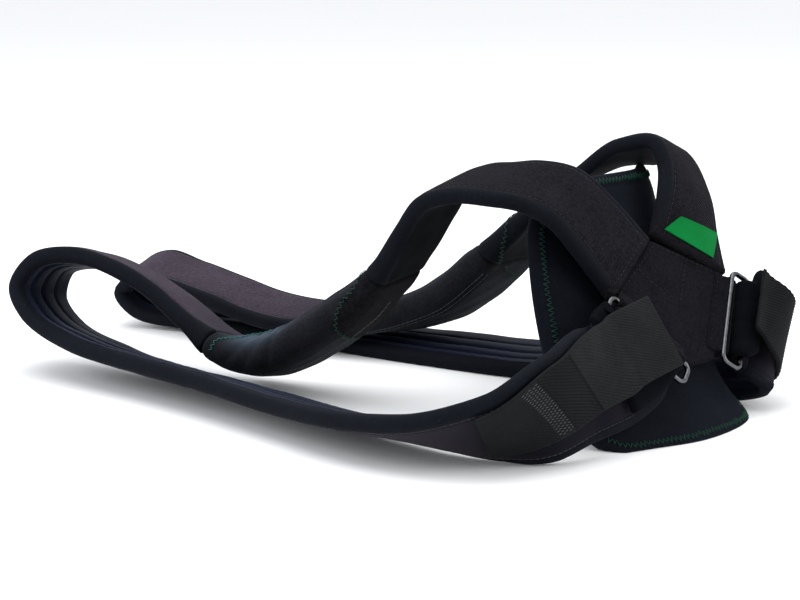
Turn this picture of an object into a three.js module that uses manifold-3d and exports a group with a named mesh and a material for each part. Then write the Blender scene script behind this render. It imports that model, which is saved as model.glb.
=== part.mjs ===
// Clavicle brace, lying on a surface: a leaning back pad with a centre yoke, two padded shoulder
// straps that arch forward into thick front pads, and two loop straps that curl round and come back
// to wire rings on the yoke, where their ends are folded back under webbing tabs.
// Millimetres, +Z up. +X is the wearer's right, the outside of the back faces -Y, the straps run to +Y.
import * as THREE from 'three';
import { mergeVertices } from 'three/addons/utils/BufferGeometryUtils.js';
import Module from 'manifold-3d';

const wasm = await Module();
wasm.setup();

// ---------------------------------------------------------------- driving dimensions
const REST_CENTRE = { x: -48.7, y: 202.8 };    // middle of the outline on the surface, becomes the origin
const BACK_LEAN = 29.4;                    // degrees the back leans from upright, top towards +Y
const JOIN_GAP = 0.5;                      // clear gap where two sewn pieces meet

const RING_LONG = 52;                      // wire ring, centre line to centre line
const RING_SHORT = 11;
const RING_CORNER = 3.4;
const WIRE = 2.8;

const YOKE_FLOOR = -8.8;                   // yoke plate, measured outwards from the rings' plane
const YOKE_FACE = -3.2;
const HEM_LENGTH = 44;                     // sewn sleeve round the inner bar of each ring
const HEM_RADIUS = 2.9;
const HEM_CLEAR = 0.45;
const FOLD_RADIUS = 4.3;                   // middle of the strap round the outer bar of each ring
const RING_SLIDE = 1.6;                    // the strap sits this far towards the upper end of the ring
const RING_SKEW = 1.8;                       // and this far where it reaches the ring

const PAD_THICK = 9;
const PAD_SPREAD = 0.8;                    // share of the width it wins back where it bends less
const TOE_HEIGHT = 36;                     // the pad's lower edge kicks out below this height

const TAB_WIDTH = 35.5;
const TAB_THICK = 2;
const TAB_STRAIGHT = { left: 1.9, right: 0.8 };   // the tab runs straight on from here to the ring
const TAB_PITCH = 12;                      // along the tab, per place, on that stretch

const LABEL_THICK = 1.1;

// ---------------------------------------------------------------- tables
// Strap sections from the yoke, over the shoulder, down the front, round the loop and back to the
// ring. x, y, z: middle of the section. turn, tip: heading and climb (degrees) of the line that
// runs across the strap from its left edge to its right edge. w, h: width and thickness.
const LEFT_STRAP = [
  { at: 'seam',     x: -22.6, y: 46.6, z: 73.2,  turn: 15,   tip: 24.6, w: 48, h: 7.6 },
  { at: 'blade',    x: -35,   y: 55.5, z: 91.5,  turn: 21,   tip: 24,   w: 49, h: 8 },
  { at: 'brow',     x: -47,   y: 63.5, z: 105.8,   turn: 24,   tip: 21,   w: 49, h: 8 },
  { at: 'crest1',   x: -57,   y: 74.5, z: 111.4,   turn: 25,   tip: 15,   w: 49, h: 8 },
  { at: 'crest2',   x: -65,   y: 86,   z: 112.4,   turn: 25,   tip: 11,   w: 49, h: 8 },
  { at: 'turn1',    x: -71,   y: 99,   z: 112,   turn: 19,   tip: 8.5,   w: 49, h: 8 },
  { at: 'turn2',    x: -75.8,   y: 113,  z: 106.5, turn: 14,   tip: 7,    w: 49, h: 8 },
  { at: 'leg',      x: -77.4,   y: 123.4,  z: 93,    turn: 13.5,   tip: 5,    w: 49, h: 8 },
  { at: 'leg_low',  x: -80.2,   y: 134.2,  z: 76,    turn: 15.5,   tip: 5,    w: 50, h: 10 },
  { at: 'fold',     x: -83.8,   y: 146.8,  z: 60,    turn: 17,   tip: 3,    w: 50, h: 14 },
  { at: 'pad1',     x: -89,   y: 163,  z: 44.4,  turn: 17,   tip: -3,   w: 50, h: 17 },
  { at: 'pad2',     x: -95,   y: 182,  z: 30.6,    turn: 17,   tip: -5,   w: 50, h: 18 },
  { at: 'pad3',     x: -102,  y: 203,  z: 19.6,  turn: 16,   tip: -9,  w: 50, h: 18 },
  { at: 'valley',   x: -108,  y: 225,  z: 17,  turn: 16,   tip: -19,  w: 50, h: 15.5 },
  { at: 'felt1',    x: -112,  y: 248,  z: 28.6,    turn: 19,   tip: -20,  w: 50, h: 9 },
  { at: 'felt2',    x: -116,  y: 272,  z: 42.2,    turn: 21,   tip: -19.5,  w: 50, h: 8 },
  { at: 'felt3',    x: -122,  y: 296,  z: 52,    turn: 24,   tip: -17,  w: 50, h: 8 },
  { at: 'curl_top', x: -131,  y: 320,  z: 57.2,  turn: 26,   tip: -14,  w: 50, h: 8 },
  { at: 'curl_up',  x: -141,  y: 336.5,  z: 53,  turn: 27,   tip: -13,  w: 50, h: 8 },
  { at: 'curl',     x: -147,  y: 341,  z: 38.5,    turn: 22,   tip: -18,  w: 50, h: 8 },
  { at: 'curl_low', x: -147.5,  y: 327,  z: 24.5,  turn: 13,   tip: -20,  w: 50, h: 8 },
  { at: 'run1',     x: -145,  y: 290,  z: 14.6,  turn: 6,    tip: -17.5,  w: 50, h: 8 },
  { at: 'run2',     x: -142,  y: 240,  z: 10.7,    turn: 2,    tip: -19,  w: 50, h: 8 },
  { at: 'run3',     x: -142,  y: 186,  z: 10.2,  turn: -2,   tip: -18,  w: 50, h: 8 },
  { at: 'run4',     x: -146,  y: 132,  z: 9.9,    turn: -5,   tip: -16.5,  w: 50, h: 8 },
  { at: 'run5',     x: -150,  y: 88,   z: 12.3,    turn: -2,   tip: -16,  w: 50, h: 8 },
  { at: 'run6',     x: -147,  y: 51,   z: 14.6,  turn: 13,   tip: -24,  w: 50, h: 8 },
  { at: 'belly1',   x: -133,  y: 26,   z: 19.2,    turn: 30,   tip: -44,  w: 50, h: 8 },
  { at: 'belly2',   x: -112,  y: 14.2,   z: 25.8,    turn: 16,   tip: -77,  w: 50, h: 8 },
  { at: 'rise1',    x: -87,   y: 15.8,   z: 31.6,    turn: -26,  tip: -68,  w: 50, h: 7.4 },
  { at: 'rise2',    x: -62,   y: 22.2, z: 31.6,  turn: -46,  tip: -54,  w: 49, h: 6.2 },
];
const RIGHT_STRAP = [
  { at: 'seam',     x: 23.4,  y: 47.1, z: 74.2,  turn: -15,  tip: -24.6, w: 48, h: 7.6 },
  { at: 'blade',    x: 35,    y: 56.5, z: 89,    turn: 0,    tip: -29,  w: 49, h: 8 },
  { at: 'brow',     x: 44.5,    y: 66.5,   z: 105,   turn: 8,    tip: -27,  w: 49, h: 8 },
  { at: 'crest1',   x: 46.6,    y: 79, z: 119,   turn: 17,   tip: -17,  w: 49, h: 8 },
  { at: 'turn1',    x: 41,    y: 95.5,   z: 117,   turn: 20,   tip: -15,    w: 49, h: 8 },
  { at: 'turn2',    x: 36,    y: 115,  z: 108.4, turn: 19,   tip: 2,   w: 49, h: 8 },
  { at: 'leg',      x: 32,    y: 137,  z: 94,    turn: 17,   tip: 8,   w: 49, h: 8 },
  { at: 'leg_low',  x: 29.5,  y: 157,  z: 72.5,  turn: 11,   tip: 3,    w: 50, h: 12 },
  { at: 'fold',     x: 26.5,  y: 177,  z: 51.6,    turn: 9,    tip: -6,   w: 50, h: 16.5 },
  { at: 'pad1',     x: 19.5,  y: 199,  z: 32.8,  turn: 14,   tip: -9,   w: 50, h: 16.5 },
  { at: 'pad2',     x: 10,    y: 220,  z: 22.6,  turn: 18,   tip: -9,   w: 50, h: 15 },
  { at: 'pad3',     x: 0,     y: 240,  z: 17.8,    turn: 21,   tip: -3,   w: 50, h: 12.4 },
  { at: 'valley',   x: -9,    y: 261,  z: 16,    turn: 22,   tip: 3,    w: 50, h: 9.5 },
  { at: 'felt1',    x: -17,   y: 283,  z: 16,  turn: 22,   tip: 4.5,    w: 50, h: 8 },
  { at: 'felt2',    x: -22,   y: 308,  z: 18.6,    turn: 22,   tip: 3,   w: 50, h: 8 },
  { at: 'felt3',    x: -26,   y: 336,  z: 24,    turn: 23,   tip: 2.5,    w: 50, h: 8 },
  { at: 'curl_top', x: -31,   y: 364,  z: 29,    turn: 24,   tip: 4,    w: 50, h: 8 },
  { at: 'curl_up',  x: -36,   y: 386,  z: 31.5,  turn: 25,   tip: 8,    w: 50, h: 8 },
  { at: 'curl',     x: -39,   y: 396,  z: 25,    turn: 25,   tip: 13,   w: 50, h: 8 },
  { at: 'curl_low', x: -34,   y: 388,  z: 14.5,  turn: 22,   tip: 13,   w: 50, h: 8 },
  { at: 'run1',     x: -22,   y: 362,  z: 8.5,   turn: 20,   tip: 8,    w: 50, h: 8 },
  { at: 'run2',     x: -6,    y: 318,  z: 3.9,   turn: 18,   tip: 0.8,    w: 50, h: 8 },
  { at: 'run3',     x: 5,     y: 264,  z: 3.7,   turn: 15,   tip: 1,    w: 50, h: 8 },
  { at: 'run4',     x: 16,    y: 202,  z: 4.6,   turn: 14,   tip: 3.6,    w: 50, h: 8 },
  { at: 'run5',     x: 29,    y: 146,  z: 5.6,   turn: 15,   tip: 5,   w: 50, h: 8 },
  { at: 'run6',      x: 49, y: 99, z: 9.6, turn: 14, tip: 12, w: 50, h: 8 },
  { at: 'belly1',    x: 55.5, y: 64, z: 16.6, turn: 12, tip: 33, w: 50, h: 8 },
  { at: 'belly2',    x: 53.6, y: 36, z: 23, turn: 20, tip: 64, w: 50, h: 8 },
  { at: 'rise2',     x: 50.4, y: 18.4, z: 29, turn: 38, tip: 54, w: 49, h: 6.6 },
];
// Where one sewn piece ends and the next begins, as places along the tables above.
const LEFT_CUTS = { shoulder: 8.55, front: 13.3 };
const RIGHT_CUTS = { shoulder: 7.55, front: 12.35 };

// Strap end folded back through the ring: place along the strap counted back from its last row,
// lift off the incoming layer, slide towards the ring's upper end, width and thickness.
const LEFT_FOLD = [
  { back: 0,    lift: 8.6, slide: 0.4, w: 43,   h: 4.6 },
  { back: 0.5,  lift: 9,   slide: 4.6, w: 47,   h: 5 },
  { back: 1,    lift: 8.6, slide: 6.4, w: 49,   h: 5.2 },
  { back: 1.7,  lift: 7.8, slide: 5.4, w: 49,   h: 5.2 },
  { back: 2.3,  lift: 7.2, slide: 3.6, w: 47,   h: 4.2 },
];
const RIGHT_FOLD = [
  { back: 0, lift: 8.6, slide: 0.2, w: 43, h: 4.6 },
  { back: 0.4, lift: 8.4, slide: 6.4, w: 48, h: 4.6 },
  { back: 0.8, lift: 7.4, slide: 8, w: 48, h: 4.4 },
  { back: 1.1, lift: 6.8, slide: 6.8, w: 47, h: 4 },
  { back: 1.35, lift: 6.4, slide: 5, w: 45, h: 3.4 },
];
// Webbing tab over the folded end and on along the strap, in the same terms.
const LEFT_TAB = [
  { back: -0.6, lift: 16, slide: 7 },     { back: 0.6, lift: 14.8, slide: 7 },   { back: 1.3, lift: 13.6, slide: 7 },
  { back: 1.9,  lift: 12.4, slide: 6.6 }, { back: 2.3, lift: 11.2, slide: 5.6 }, { back: 2.7, lift: 7.8, slide: 5.8 },
  { back: 3.2,  lift: 6.4, slide: 5.8 },  { back: 4.2, lift: 6.2, slide: 5.2 },  { back: 5.2, lift: 6.4, slide: 4.6 },
];
const RIGHT_TAB = [
  { back: -0.2, lift: 15.4, slide: 6 },
  { back: 0.3, lift: 15.2, slide: 6 },
  { back: 0.8, lift: 15.2, slide: 6 },
  { back: 1.2, lift: 14.8, slide: 5.8 },
  { back: 1.5, lift: 13.6, slide: 5 },
  { back: 1.8, lift: 11.6, slide: 4 },
  { back: 2.1, lift: 9.2, slide: 3.2 },
  { back: 2.5, lift: 7.4, slide: 2.2 },
  { back: 3, lift: 6.6, slide: 1 },
];

// Back pad, across: distance along the pad, its x, how far that strip bends forward, and how far
// its lower edge kicks out.
const PAD_ACROSS = [
  { along: -84, x: -80, fwd: 9, toe: 4 },
  { along: -56, x: -54, fwd: 3, toe: 5 },
  { along: -28, x: -27, fwd: 0.5, toe: 9 },
  { along: 0,   x: 0,   fwd: 0, toe: 6 },
  { along: 22,  x: 20.5, fwd: 4, toe: 2 },
  { along: 42,  x: 33,  fwd: 17, toe: 0 },
  { along: 60,  x: 36.5, fwd: 34.5, toe: 0 },
  { along: 78,  x: 36,  fwd: 51, toe: 0 },
];
// Back pad, upwards: height along the back, how far the strip sits behind the rings' plane,
// the half width to the left and right edge there, and the share of the forward bend it takes.
const PAD_UP = [
  { up: 0,   back: 7,    left: 71, right: 25, bend: 1 },
  { up: 8,   back: 10,   left: 79, right: 38, bend: 1 },
  { up: 24,  back: 14.2, left: 83, right: 56, bend: 1 },
  { up: 46,  back: 15.2, left: 82, right: 68, bend: 1 },
  { up: 72,  back: 15.8, left: 77, right: 70, bend: 1 },
  { up: 98,  back: 16.8, left: 69, right: 71, bend: 0.8 },
  { up: 118, back: 17.4, left: 60, right: 71, bend: 0.55 },
  { up: 137, back: 17.8, left: 40, right: 62, bend: 0.42 },
];
// Yoke corners on the back: x and height.
const YOKE = [
  { corner: 'apex',        x: 0,   up: 97.6 },
  { corner: 'left_ring',   x: -43, up: 74 },
  { corner: 'left_foot',   x: -12, up: 34 },
  { corner: 'right_foot',  x: 12,  up: 34 },
  { corner: 'right_ring',  x: 43,  up: 74 },
];
// Inner bar of the left ring, mirrored for the right: x and height of its upper and lower end.
const RING_BAR = { upperX: -45.2, upperUp: 73.3, lowerX: -12.7, lowerUp: 32.7 };

// Label on the right shoulder strap, from its seam to its free edge: place along the strap and
// distance from its middle line for the left and right end, and lift off the strap.
const LABEL = [
  { at: 'seam',   leftPlace: 0.05, left: -20,   rightPlace: 0.05, right: 12.5, lift: 1.6 },
  { at: 'middle', leftPlace: 0.29, left: -16.6, rightPlace: 0.46, right: 14.3, lift: 2 },
  { at: 'tip',    leftPlace: 0.53, left: -13.2, rightPlace: 0.87, right: 16,   lift: 2.7 },
];

// ---------------------------------------------------------------- frames and helpers
const RAD = Math.PI / 180;
const LEAN_SIN = Math.sin(BACK_LEAN * RAD);
const LEAN_COS = Math.cos(BACK_LEAN * RAD);
const V = (x, y, z) => new THREE.Vector3(x, y, z);

// A point on the back: x, height along the lean, distance outwards from the rings' plane.
const onBack = (x, up, out) => V(x, up * LEAN_SIN - out * LEAN_COS, up * LEAN_COS + out * LEAN_SIN);
const dirOnBack = (x, up, out) => onBack(x, up, out).normalize();

function solidMesh(positions, triangles) {
  const g = new THREE.BufferGeometry();
  g.setAttribute('position', new THREE.Float32BufferAttribute(positions, 3));
  g.setIndex(triangles);
  return g;
}

function signedVolume(pos, idx) {
  let v = 0;
  const a = V(), b = V(), c = V();
  for (let i = 0; i < idx.length; i += 3) {
    a.fromArray(pos, idx[i] * 3); b.fromArray(pos, idx[i + 1] * 3); c.fromArray(pos, idx[i + 2] * 3);
    v += a.dot(b.clone().cross(c));
  }
  return v / 6;
}

// Skin a list of closed rings of points (all the same count). Ends are capped, or the loop closes.
function loft(rings, closed = false) {
  const n = rings[0].length, m = rings.length;
  const pos = [], idx = [];
  for (const ring of rings) for (const p of ring) pos.push(p.x, p.y, p.z);
  const last = closed ? m : m - 1;
  for (let i = 0; i < last; i++) {
    const j = (i + 1) % m;
    for (let k = 0; k < n; k++) {
      const l = (k + 1) % n;
      idx.push(i * n + k, j * n + k, j * n + l, i * n + k, j * n + l, i * n + l);
    }
  }
  if (!closed) {
    for (const end of [0, m - 1]) {
      const c = rings[end].reduce((s, p) => s.add(p), V(0, 0, 0)).multiplyScalar(1 / n);
      const ci = pos.length / 3;
      pos.push(c.x, c.y, c.z);
      for (let k = 0; k < n; k++) {
        const l = (k + 1) % n;
        if (end === 0) idx.push(ci, end * n + k, end * n + l);
        else idx.push(ci, end * n + l, end * n + k);
      }
    }
  }
  if (signedVolume(pos, idx) < 0) for (let i = 0; i < idx.length; i += 3) [idx[i], idx[i + 1]] = [idx[i + 1], idx[i]];
  return solidMesh(pos, idx);
}

// Strap cross-section: flat faces and full, rounded edges. Pairs of (across, outwards).
function strapSection(w, h) {
  const a = w / 2, b = h / 2, r = Math.min(b * 1.1, a * 0.5);
  return [
    [-a, 0], [-a + 0.3 * r, -0.72 * b], [-a + r, -b], [0, -b * 1.0], [a - r, -b], [a - 0.3 * r, -0.72 * b],
    [a, 0], [a - 0.3 * r, 0.72 * b], [a - r, b], [0, b * 1.0], [-a + r, b], [-a + 0.3 * r, 0.72 * b],
  ];
}

// The path of a strap: middle line, direction across and outward face direction at any place.
function strapPath(table) {
  const n = table.length;
  const mid = new THREE.CatmullRomCurve3(table.map((r) => V(r.x, r.y, r.z)));
  const across = new THREE.CatmullRomCurve3(table.map((r) => V(
    100 * Math.cos(r.tip * RAD) * Math.cos(r.turn * RAD),
    100 * Math.cos(r.tip * RAD) * Math.sin(r.turn * RAD),
    100 * Math.sin(r.tip * RAD))));
  const mix = (u, key) => {
    const i = Math.min(Math.floor(u), n - 2), f = u - i;
    const s = f * f * (3 - 2 * f);
    return table[i][key] * (1 - s) + table[i + 1][key] * s;
  };
  return (u) => {
    const t = THREE.MathUtils.clamp(u / (n - 1), 0, 1), e = 0.02 / (n - 1);
    const c = mid.getPoint(t);
    const ahead = mid.getPoint(Math.min(t + e, 1)).sub(mid.getPoint(Math.max(t - e, 0))).normalize();
    const d = across.getPoint(t);
    d.addScaledVector(ahead, -d.dot(ahead)).normalize();
    const out = d.clone().cross(ahead).normalize();
    return { c, ahead, across: d, out, w: mix(t * (n - 1), 'w'), h: mix(t * (n - 1), 'h') };
  };
}

// Smooth reading of a table: the value of any column at a place between its rows.
function along(rows, key, x) {
  return (want) => {
    let i = 0;
    while (i < rows.length - 2 && x > rows[i + 1][key]) i++;
    const a = rows[i], b = rows[i + 1], p = rows[Math.max(i - 1, 0)], q = rows[Math.min(i + 2, rows.length - 1)];
    const f = (x - a[key]) / (b[key] - a[key]);
    const ma = p === a ? (b[want] - a[want]) / (b[key] - a[key]) : (b[want] - p[want]) / (b[key] - p[key]);
    const mb = q === b ? (b[want] - a[want]) / (b[key] - a[key]) : (q[want] - a[want]) / (q[key] - a[key]);
    const h = b[key] - a[key], f2 = f * f, f3 = f2 * f;
    return (2 * f3 - 3 * f2 + 1) * a[want] + (f3 - 2 * f2 + f) * h * ma + (3 * f2 - 2 * f3) * b[want] + (f3 - f2) * h * mb;
  };
}

function sectionRing(f, w, h, lift = 0) {
  return strapSection(w, h).map(([a, b]) => f.c.clone().addScaledVector(f.across, a).addScaledVector(f.out, b + lift));
}

function strapPiece(path, from, to, perRow = 2) {
  const steps = Math.max(2, Math.round((to - from) * perRow));
  const rings = [];
  for (let i = 0; i <= steps; i++) {
    const f = path(from + ((to - from) * i) / steps);
    rings.push(sectionRing(f, f.w, f.h));
  }
  return rings;
}

function toManifold(geometry) {
  const g = geometry.clone();
  for (const name of Object.keys(g.attributes)) if (name !== 'position') g.deleteAttribute(name);
  const m = mergeVertices(g, 1e-4);
  return new wasm.Manifold(new wasm.Mesh({
    numProp: 3,
    vertProperties: new Float32Array(m.attributes.position.array),
    triVerts: new Uint32Array(m.index.array),
  }));
}
function fromManifold(solid) {
  const m = solid.getMesh();
  const pos = [];
  for (let i = 0; i < m.vertProperties.length; i += m.numProp) pos.push(m.vertProperties[i], m.vertProperties[i + 1], m.vertProperties[i + 2]);
  return solidMesh(pos, Array.from(m.triVerts));
}

// Cloth is flat where it rests on the surface: everything under z = 0 comes off.
const underSurface = toManifold(new THREE.BoxGeometry(2000, 2000, 200).translate(0, 0, -100));
const rested = (geometry) => fromManifold(toManifold(geometry).subtract(underSurface));

const group = new THREE.Group();
group.position.set(-REST_CENTRE.x, -REST_CENTRE.y, 0);
function addPiece(name, geometry, color, roughness, metalness = 0) {
  const mesh = new THREE.Mesh(geometry, new THREE.MeshStandardMaterial({ color, roughness, metalness }));
  mesh.name = name;
  geometry.computeVertexNormals();
  group.add(mesh);
  return mesh;
}

// ---------------------------------------------------------------- straps
function gapOnPath(path, u) {
  const d = path(u + 0.05).c.distanceTo(path(u - 0.05).c) / 0.1;
  return JOIN_GAP / d;
}

function buildSide(side, table, cuts, foldTable, tabTable, ring) {
  // The last two sections lie on the ring: level with it and just outside its outer bar.
  const outerBar = ring.up.clone().add(ring.low).multiplyScalar(0.5).addScaledVector(ring.away, RING_SHORT);
  const edge = side === 'left' ? ring.bar : ring.bar.clone().negate();
  const uphill = side === 'left' ? -1 : 1;   // across the strap, towards the ring's upper end
  const ringRow = (at, away, slide, w, h) => {
    const c = outerBar.clone().addScaledVector(ring.away, away).addScaledVector(ring.outward, -FOLD_RADIUS).addScaledVector(ring.bar, -slide);
    return { at, x: c.x, y: c.y, z: c.z, turn: Math.atan2(edge.y, edge.x) / RAD, tip: Math.asin(edge.z) / RAD, w, h };
  };
  const path = strapPath([...table, ringRow('ring_in', 9, RING_SKEW, 46, 5.2), ringRow('ring_bar', 0, RING_SLIDE, 43, 4.8)]);
  const end = table.length + 1;

  const g1 = gapOnPath(path, cuts.shoulder), g2 = gapOnPath(path, cuts.front);
  addPiece(`shoulder_strap_${side}`, rested(loft(strapPiece(path, 0, cuts.shoulder - g1 / 2))), 0x18161a, 0.95);
  addPiece(`front_pad_${side}`, rested(loft(strapPiece(path, cuts.shoulder + g1 / 2, cuts.front - g2 / 2, 3))), 0x14161d, 0.8);

  // Loop strap: out round the loop, in to the ring, round the ring's outer bar and back on itself.
  const rings = strapPiece(path, cuts.front + g2 / 2, end, 3);
  const atRing = path(end);
  for (const deg of [-60, -20, 20, 60]) {
    const ca = Math.cos(deg * RAD), sa = Math.sin(deg * RAD);
    const c = outerBar.clone().addScaledVector(ring.away, -FOLD_RADIUS * ca).addScaledVector(ring.outward, FOLD_RADIUS * sa).addScaledVector(ring.bar, -RING_SLIDE);
    const out = ring.away.clone().multiplyScalar(ca).addScaledVector(ring.outward, -sa).normalize();
    rings.push(sectionRing({ c, across: atRing.across, out }, 43, 4.6));
  }
  const folded = foldTable[foldTable.length - 1].back, foldSteps = 14;
  for (let i = 0; i <= foldSteps; i++) {
    const back = (folded * i) / foldSteps;
    const f = path(end - back), row = along(foldTable, 'back', back);
    const c = f.c.clone().addScaledVector(f.out, row('lift')).addScaledVector(f.across, uphill * row('slide'));
    rings.push(sectionRing({ c, across: f.across, out: f.out.clone().negate() }, row('w'), row('h')));
  }
  addPiece(`loop_strap_${side}`, rested(loft(rings)), 0x2b2630, 0.95);

  // Webbing tab, from the fold at the ring outwards over the folded end and the strap.
  const tab = [];
  const tabFrom = tabTable[0].back, tabTo = tabTable[tabTable.length - 1].back, tabSteps = 22, held = TAB_STRAIGHT[side];
  for (let i = 0; i <= tabSteps; i++) {
    const back = tabFrom + ((tabTo - tabFrom) * i) / tabSteps;
    const f = path(end - Math.max(back, held)), row = along(tabTable, 'back', back);
    const c = f.c.clone().addScaledVector(f.out, row('lift')).addScaledVector(f.across, uphill * row('slide'));
    if (back < held) c.addScaledVector(f.ahead, TAB_PITCH * (held - back));
    tab.push(sectionRing({ c, across: f.across, out: f.out }, TAB_WIDTH, TAB_THICK));
  }
  addPiece(`closure_tab_${side}`, rested(loft(tab)), 0x1b1c1f, 0.7);
}
// ---------------------------------------------------------------- rings
function ringWire(sign) {
  const up = onBack(sign * -RING_BAR.upperX * -1, RING_BAR.upperUp, 0);
  const low = onBack(sign * -RING_BAR.lowerX * -1, RING_BAR.lowerUp, 0);
  const bar = low.clone().sub(up).normalize();
  const outward = dirOnBack(0, 0, 1);
  const away = bar.clone().cross(outward).normalize();
  const towardsSide = V(Math.sign(up.x), 0, 0);
  if (away.dot(towardsSide) < 0) away.negate();
  const middle = up.clone().add(low).multiplyScalar(0.5).addScaledVector(away, RING_SHORT / 2);
  const corners = [];
  const hx = RING_LONG / 2, hy = RING_SHORT / 2, r = RING_CORNER;
  for (const [sx, sy, start] of [[1, 1, 0], [-1, 1, 90], [-1, -1, 180], [1, -1, 270]]) {
    for (const deg of [0, 30, 60, 90]) {
      const a = (start + deg) * RAD;
      corners.push([sx * (hx - r) + r * Math.cos(a), sy * (hy - r) + r * Math.sin(a)]);
    }
  }
  const line = corners.map(([a, b]) => middle.clone().addScaledVector(bar, a).addScaledVector(away, b));
  const n = line.length, sides = 8;
  const rings = line.map((p, i) => {
    const ahead = line[(i + 1) % n].clone().sub(line[(i + n - 1) % n]).normalize();
    const side = ahead.clone().cross(outward).normalize();
    return Array.from({ length: sides }, (_, k) => {
      const a = (k / sides) * 2 * Math.PI;
      return p.clone().addScaledVector(side, (WIRE / 2) * Math.cos(a)).addScaledVector(outward, (WIRE / 2) * Math.sin(a));
    });
  });
  return { geometry: loft(rings, true), up, low, bar, outward, away };
}
const leftRing = ringWire(1), rightRing = ringWire(-1);
buildSide('left', LEFT_STRAP, LEFT_CUTS, LEFT_FOLD, LEFT_TAB, leftRing);
buildSide('right', RIGHT_STRAP, RIGHT_CUTS, RIGHT_FOLD, RIGHT_TAB, rightRing);
addPiece('ring_left', leftRing.geometry, 0x55585c, 0.35, 1);
addPiece('ring_right', rightRing.geometry, 0x55585c, 0.35, 1);

// ---------------------------------------------------------------- yoke
function backPlate(shape, floor, face) {
  const g = new THREE.ExtrudeGeometry(shape, { depth: face - floor, bevelEnabled: false, curveSegments: 6 });
  const m = new THREE.Matrix4().makeBasis(V(1, 0, 0), dirOnBack(0, 1, 0), dirOnBack(0, 0, 1));
  m.setPosition(onBack(0, 0, floor));
  return g.applyMatrix4(m);
}
function placeOnBar(g, ring, out) {
  const middle = ring.up.clone().add(ring.low).multiplyScalar(0.5).addScaledVector(ring.outward, out);
  const m = new THREE.Matrix4().makeBasis(ring.away, ring.bar.clone(), ring.away.clone().cross(ring.bar));
  m.setPosition(middle);
  return g.applyMatrix4(m);
}
const yokeShape = new THREE.Shape(YOKE.map((r) => new THREE.Vector2(r.x, r.up)));
let yoke = toManifold(backPlate(yokeShape, YOKE_FLOOR, YOKE_FACE));
for (const ring of [leftRing, rightRing]) {
  const sleeve = new THREE.CylinderGeometry(HEM_RADIUS, HEM_RADIUS, HEM_LENGTH, 14);
  const filler = new THREE.BoxGeometry(2 * HEM_RADIUS, HEM_LENGTH, -YOKE_FLOOR);
  yoke = yoke.add(toManifold(placeOnBar(sleeve, ring, 0)));
  yoke = yoke.add(toManifold(placeOnBar(filler, ring, YOKE_FLOOR / 2)));
}
for (const ring of [leftRing, rightRing]) {
  const tunnel = new THREE.CylinderGeometry(WIRE / 2 + HEM_CLEAR, WIRE / 2 + HEM_CLEAR, RING_LONG + 20, 10);
  yoke = yoke.subtract(toManifold(placeOnBar(tunnel, ring, 0)));
}
addPiece('centre_yoke', fromManifold(yoke), 0x1a181b, 0.95);

// ---------------------------------------------------------------- back pad
function padPoint(reach, up, out) {
  const across = along(PAD_ACROSS, 'along', reach), rise = along(PAD_UP, 'up', up);
  const e = 0.5;
  const bend = rise('bend'), flat = across('x');
  const x = flat + (reach - flat) * (1 - bend) * PAD_SPREAD, fwd = across('fwd') * bend, back = rise('back');
  const kick = across('toe') * Math.max(0, 1 - up / TOE_HEIGHT) ** 2;
  const ax = along(PAD_ACROSS, 'along', reach + e), bx = along(PAD_ACROSS, 'along', reach - e);
  // outward direction of the bent sheet, in the plane across the back
  const tx = ax('x') - bx('x'), tf = ax('fwd') - bx('fwd'), l = Math.hypot(tx, tf);
  return onBack(x + out * (tf / l), up, -back + out * (tx / l)).add(V(0, fwd - kick, 0));
}
{
  const acrossSteps = 16, bodyRows = [0, 4, 10, 18, 28, 40, 54, 70, 86, 102, 115, 127, 137];
  const rings = [];
  for (const up of bodyRows) {
    const rise = along(PAD_UP, 'up', up);
    const left = -rise('left'), right = rise('right');
    const edge = Math.min(1, Math.sqrt(Math.max(0, Math.min(up + 3, 140 - up) / 9)));
    const half = (PAD_THICK / 2) * (0.45 + 0.55 * edge);
    const ring = [];
    for (let i = 0; i <= acrossSteps; i++) {
      const reach = left + ((right - left) * i) / acrossSteps;
      const taper = i === 0 || i === acrossSteps ? 0.35 : 1;
      ring.push(padPoint(reach, up, half * taper));
    }
    for (let i = acrossSteps; i >= 0; i--) {
      const reach = left + ((right - left) * i) / acrossSteps;
      const taper = i === 0 || i === acrossSteps ? 0.35 : 1;
      ring.push(padPoint(reach, up, -half * taper));
    }
    rings.push(ring);
  }
  addPiece('back_pad', rested(loft(rings)), 0x14161c, 0.85);
}

// ---------------------------------------------------------------- label
{
  const path = strapPath(RIGHT_STRAP);
  const spot = (place, aside, lift) => {
    const f = path(place);
    return f.c.clone().addScaledVector(f.across, aside).addScaledVector(f.out, f.h / 2 + lift);
  };
  const rows = LABEL.map((r) => {
    const l = spot(r.leftPlace, r.left, r.lift), e = spot(r.rightPlace, r.right, r.lift);
    const c = l.clone().add(e).multiplyScalar(0.5), across = e.clone().sub(l).normalize();
    return sectionRing({ c, across, out: path((r.leftPlace + r.rightPlace) / 2).out }, l.distanceTo(e), LABEL_THICK);
  });
  addPiece('label_tab', loft(rows), 0x13903f, 0.6);
}

export default group;
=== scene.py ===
"""Clavicle brace lying on a pale floor: padded back, centre yoke, shoulder straps, front pads,
loop straps folded through wire rings, webbing tabs. Metres, +Z up, same frame as the CAD."""
import math

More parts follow.
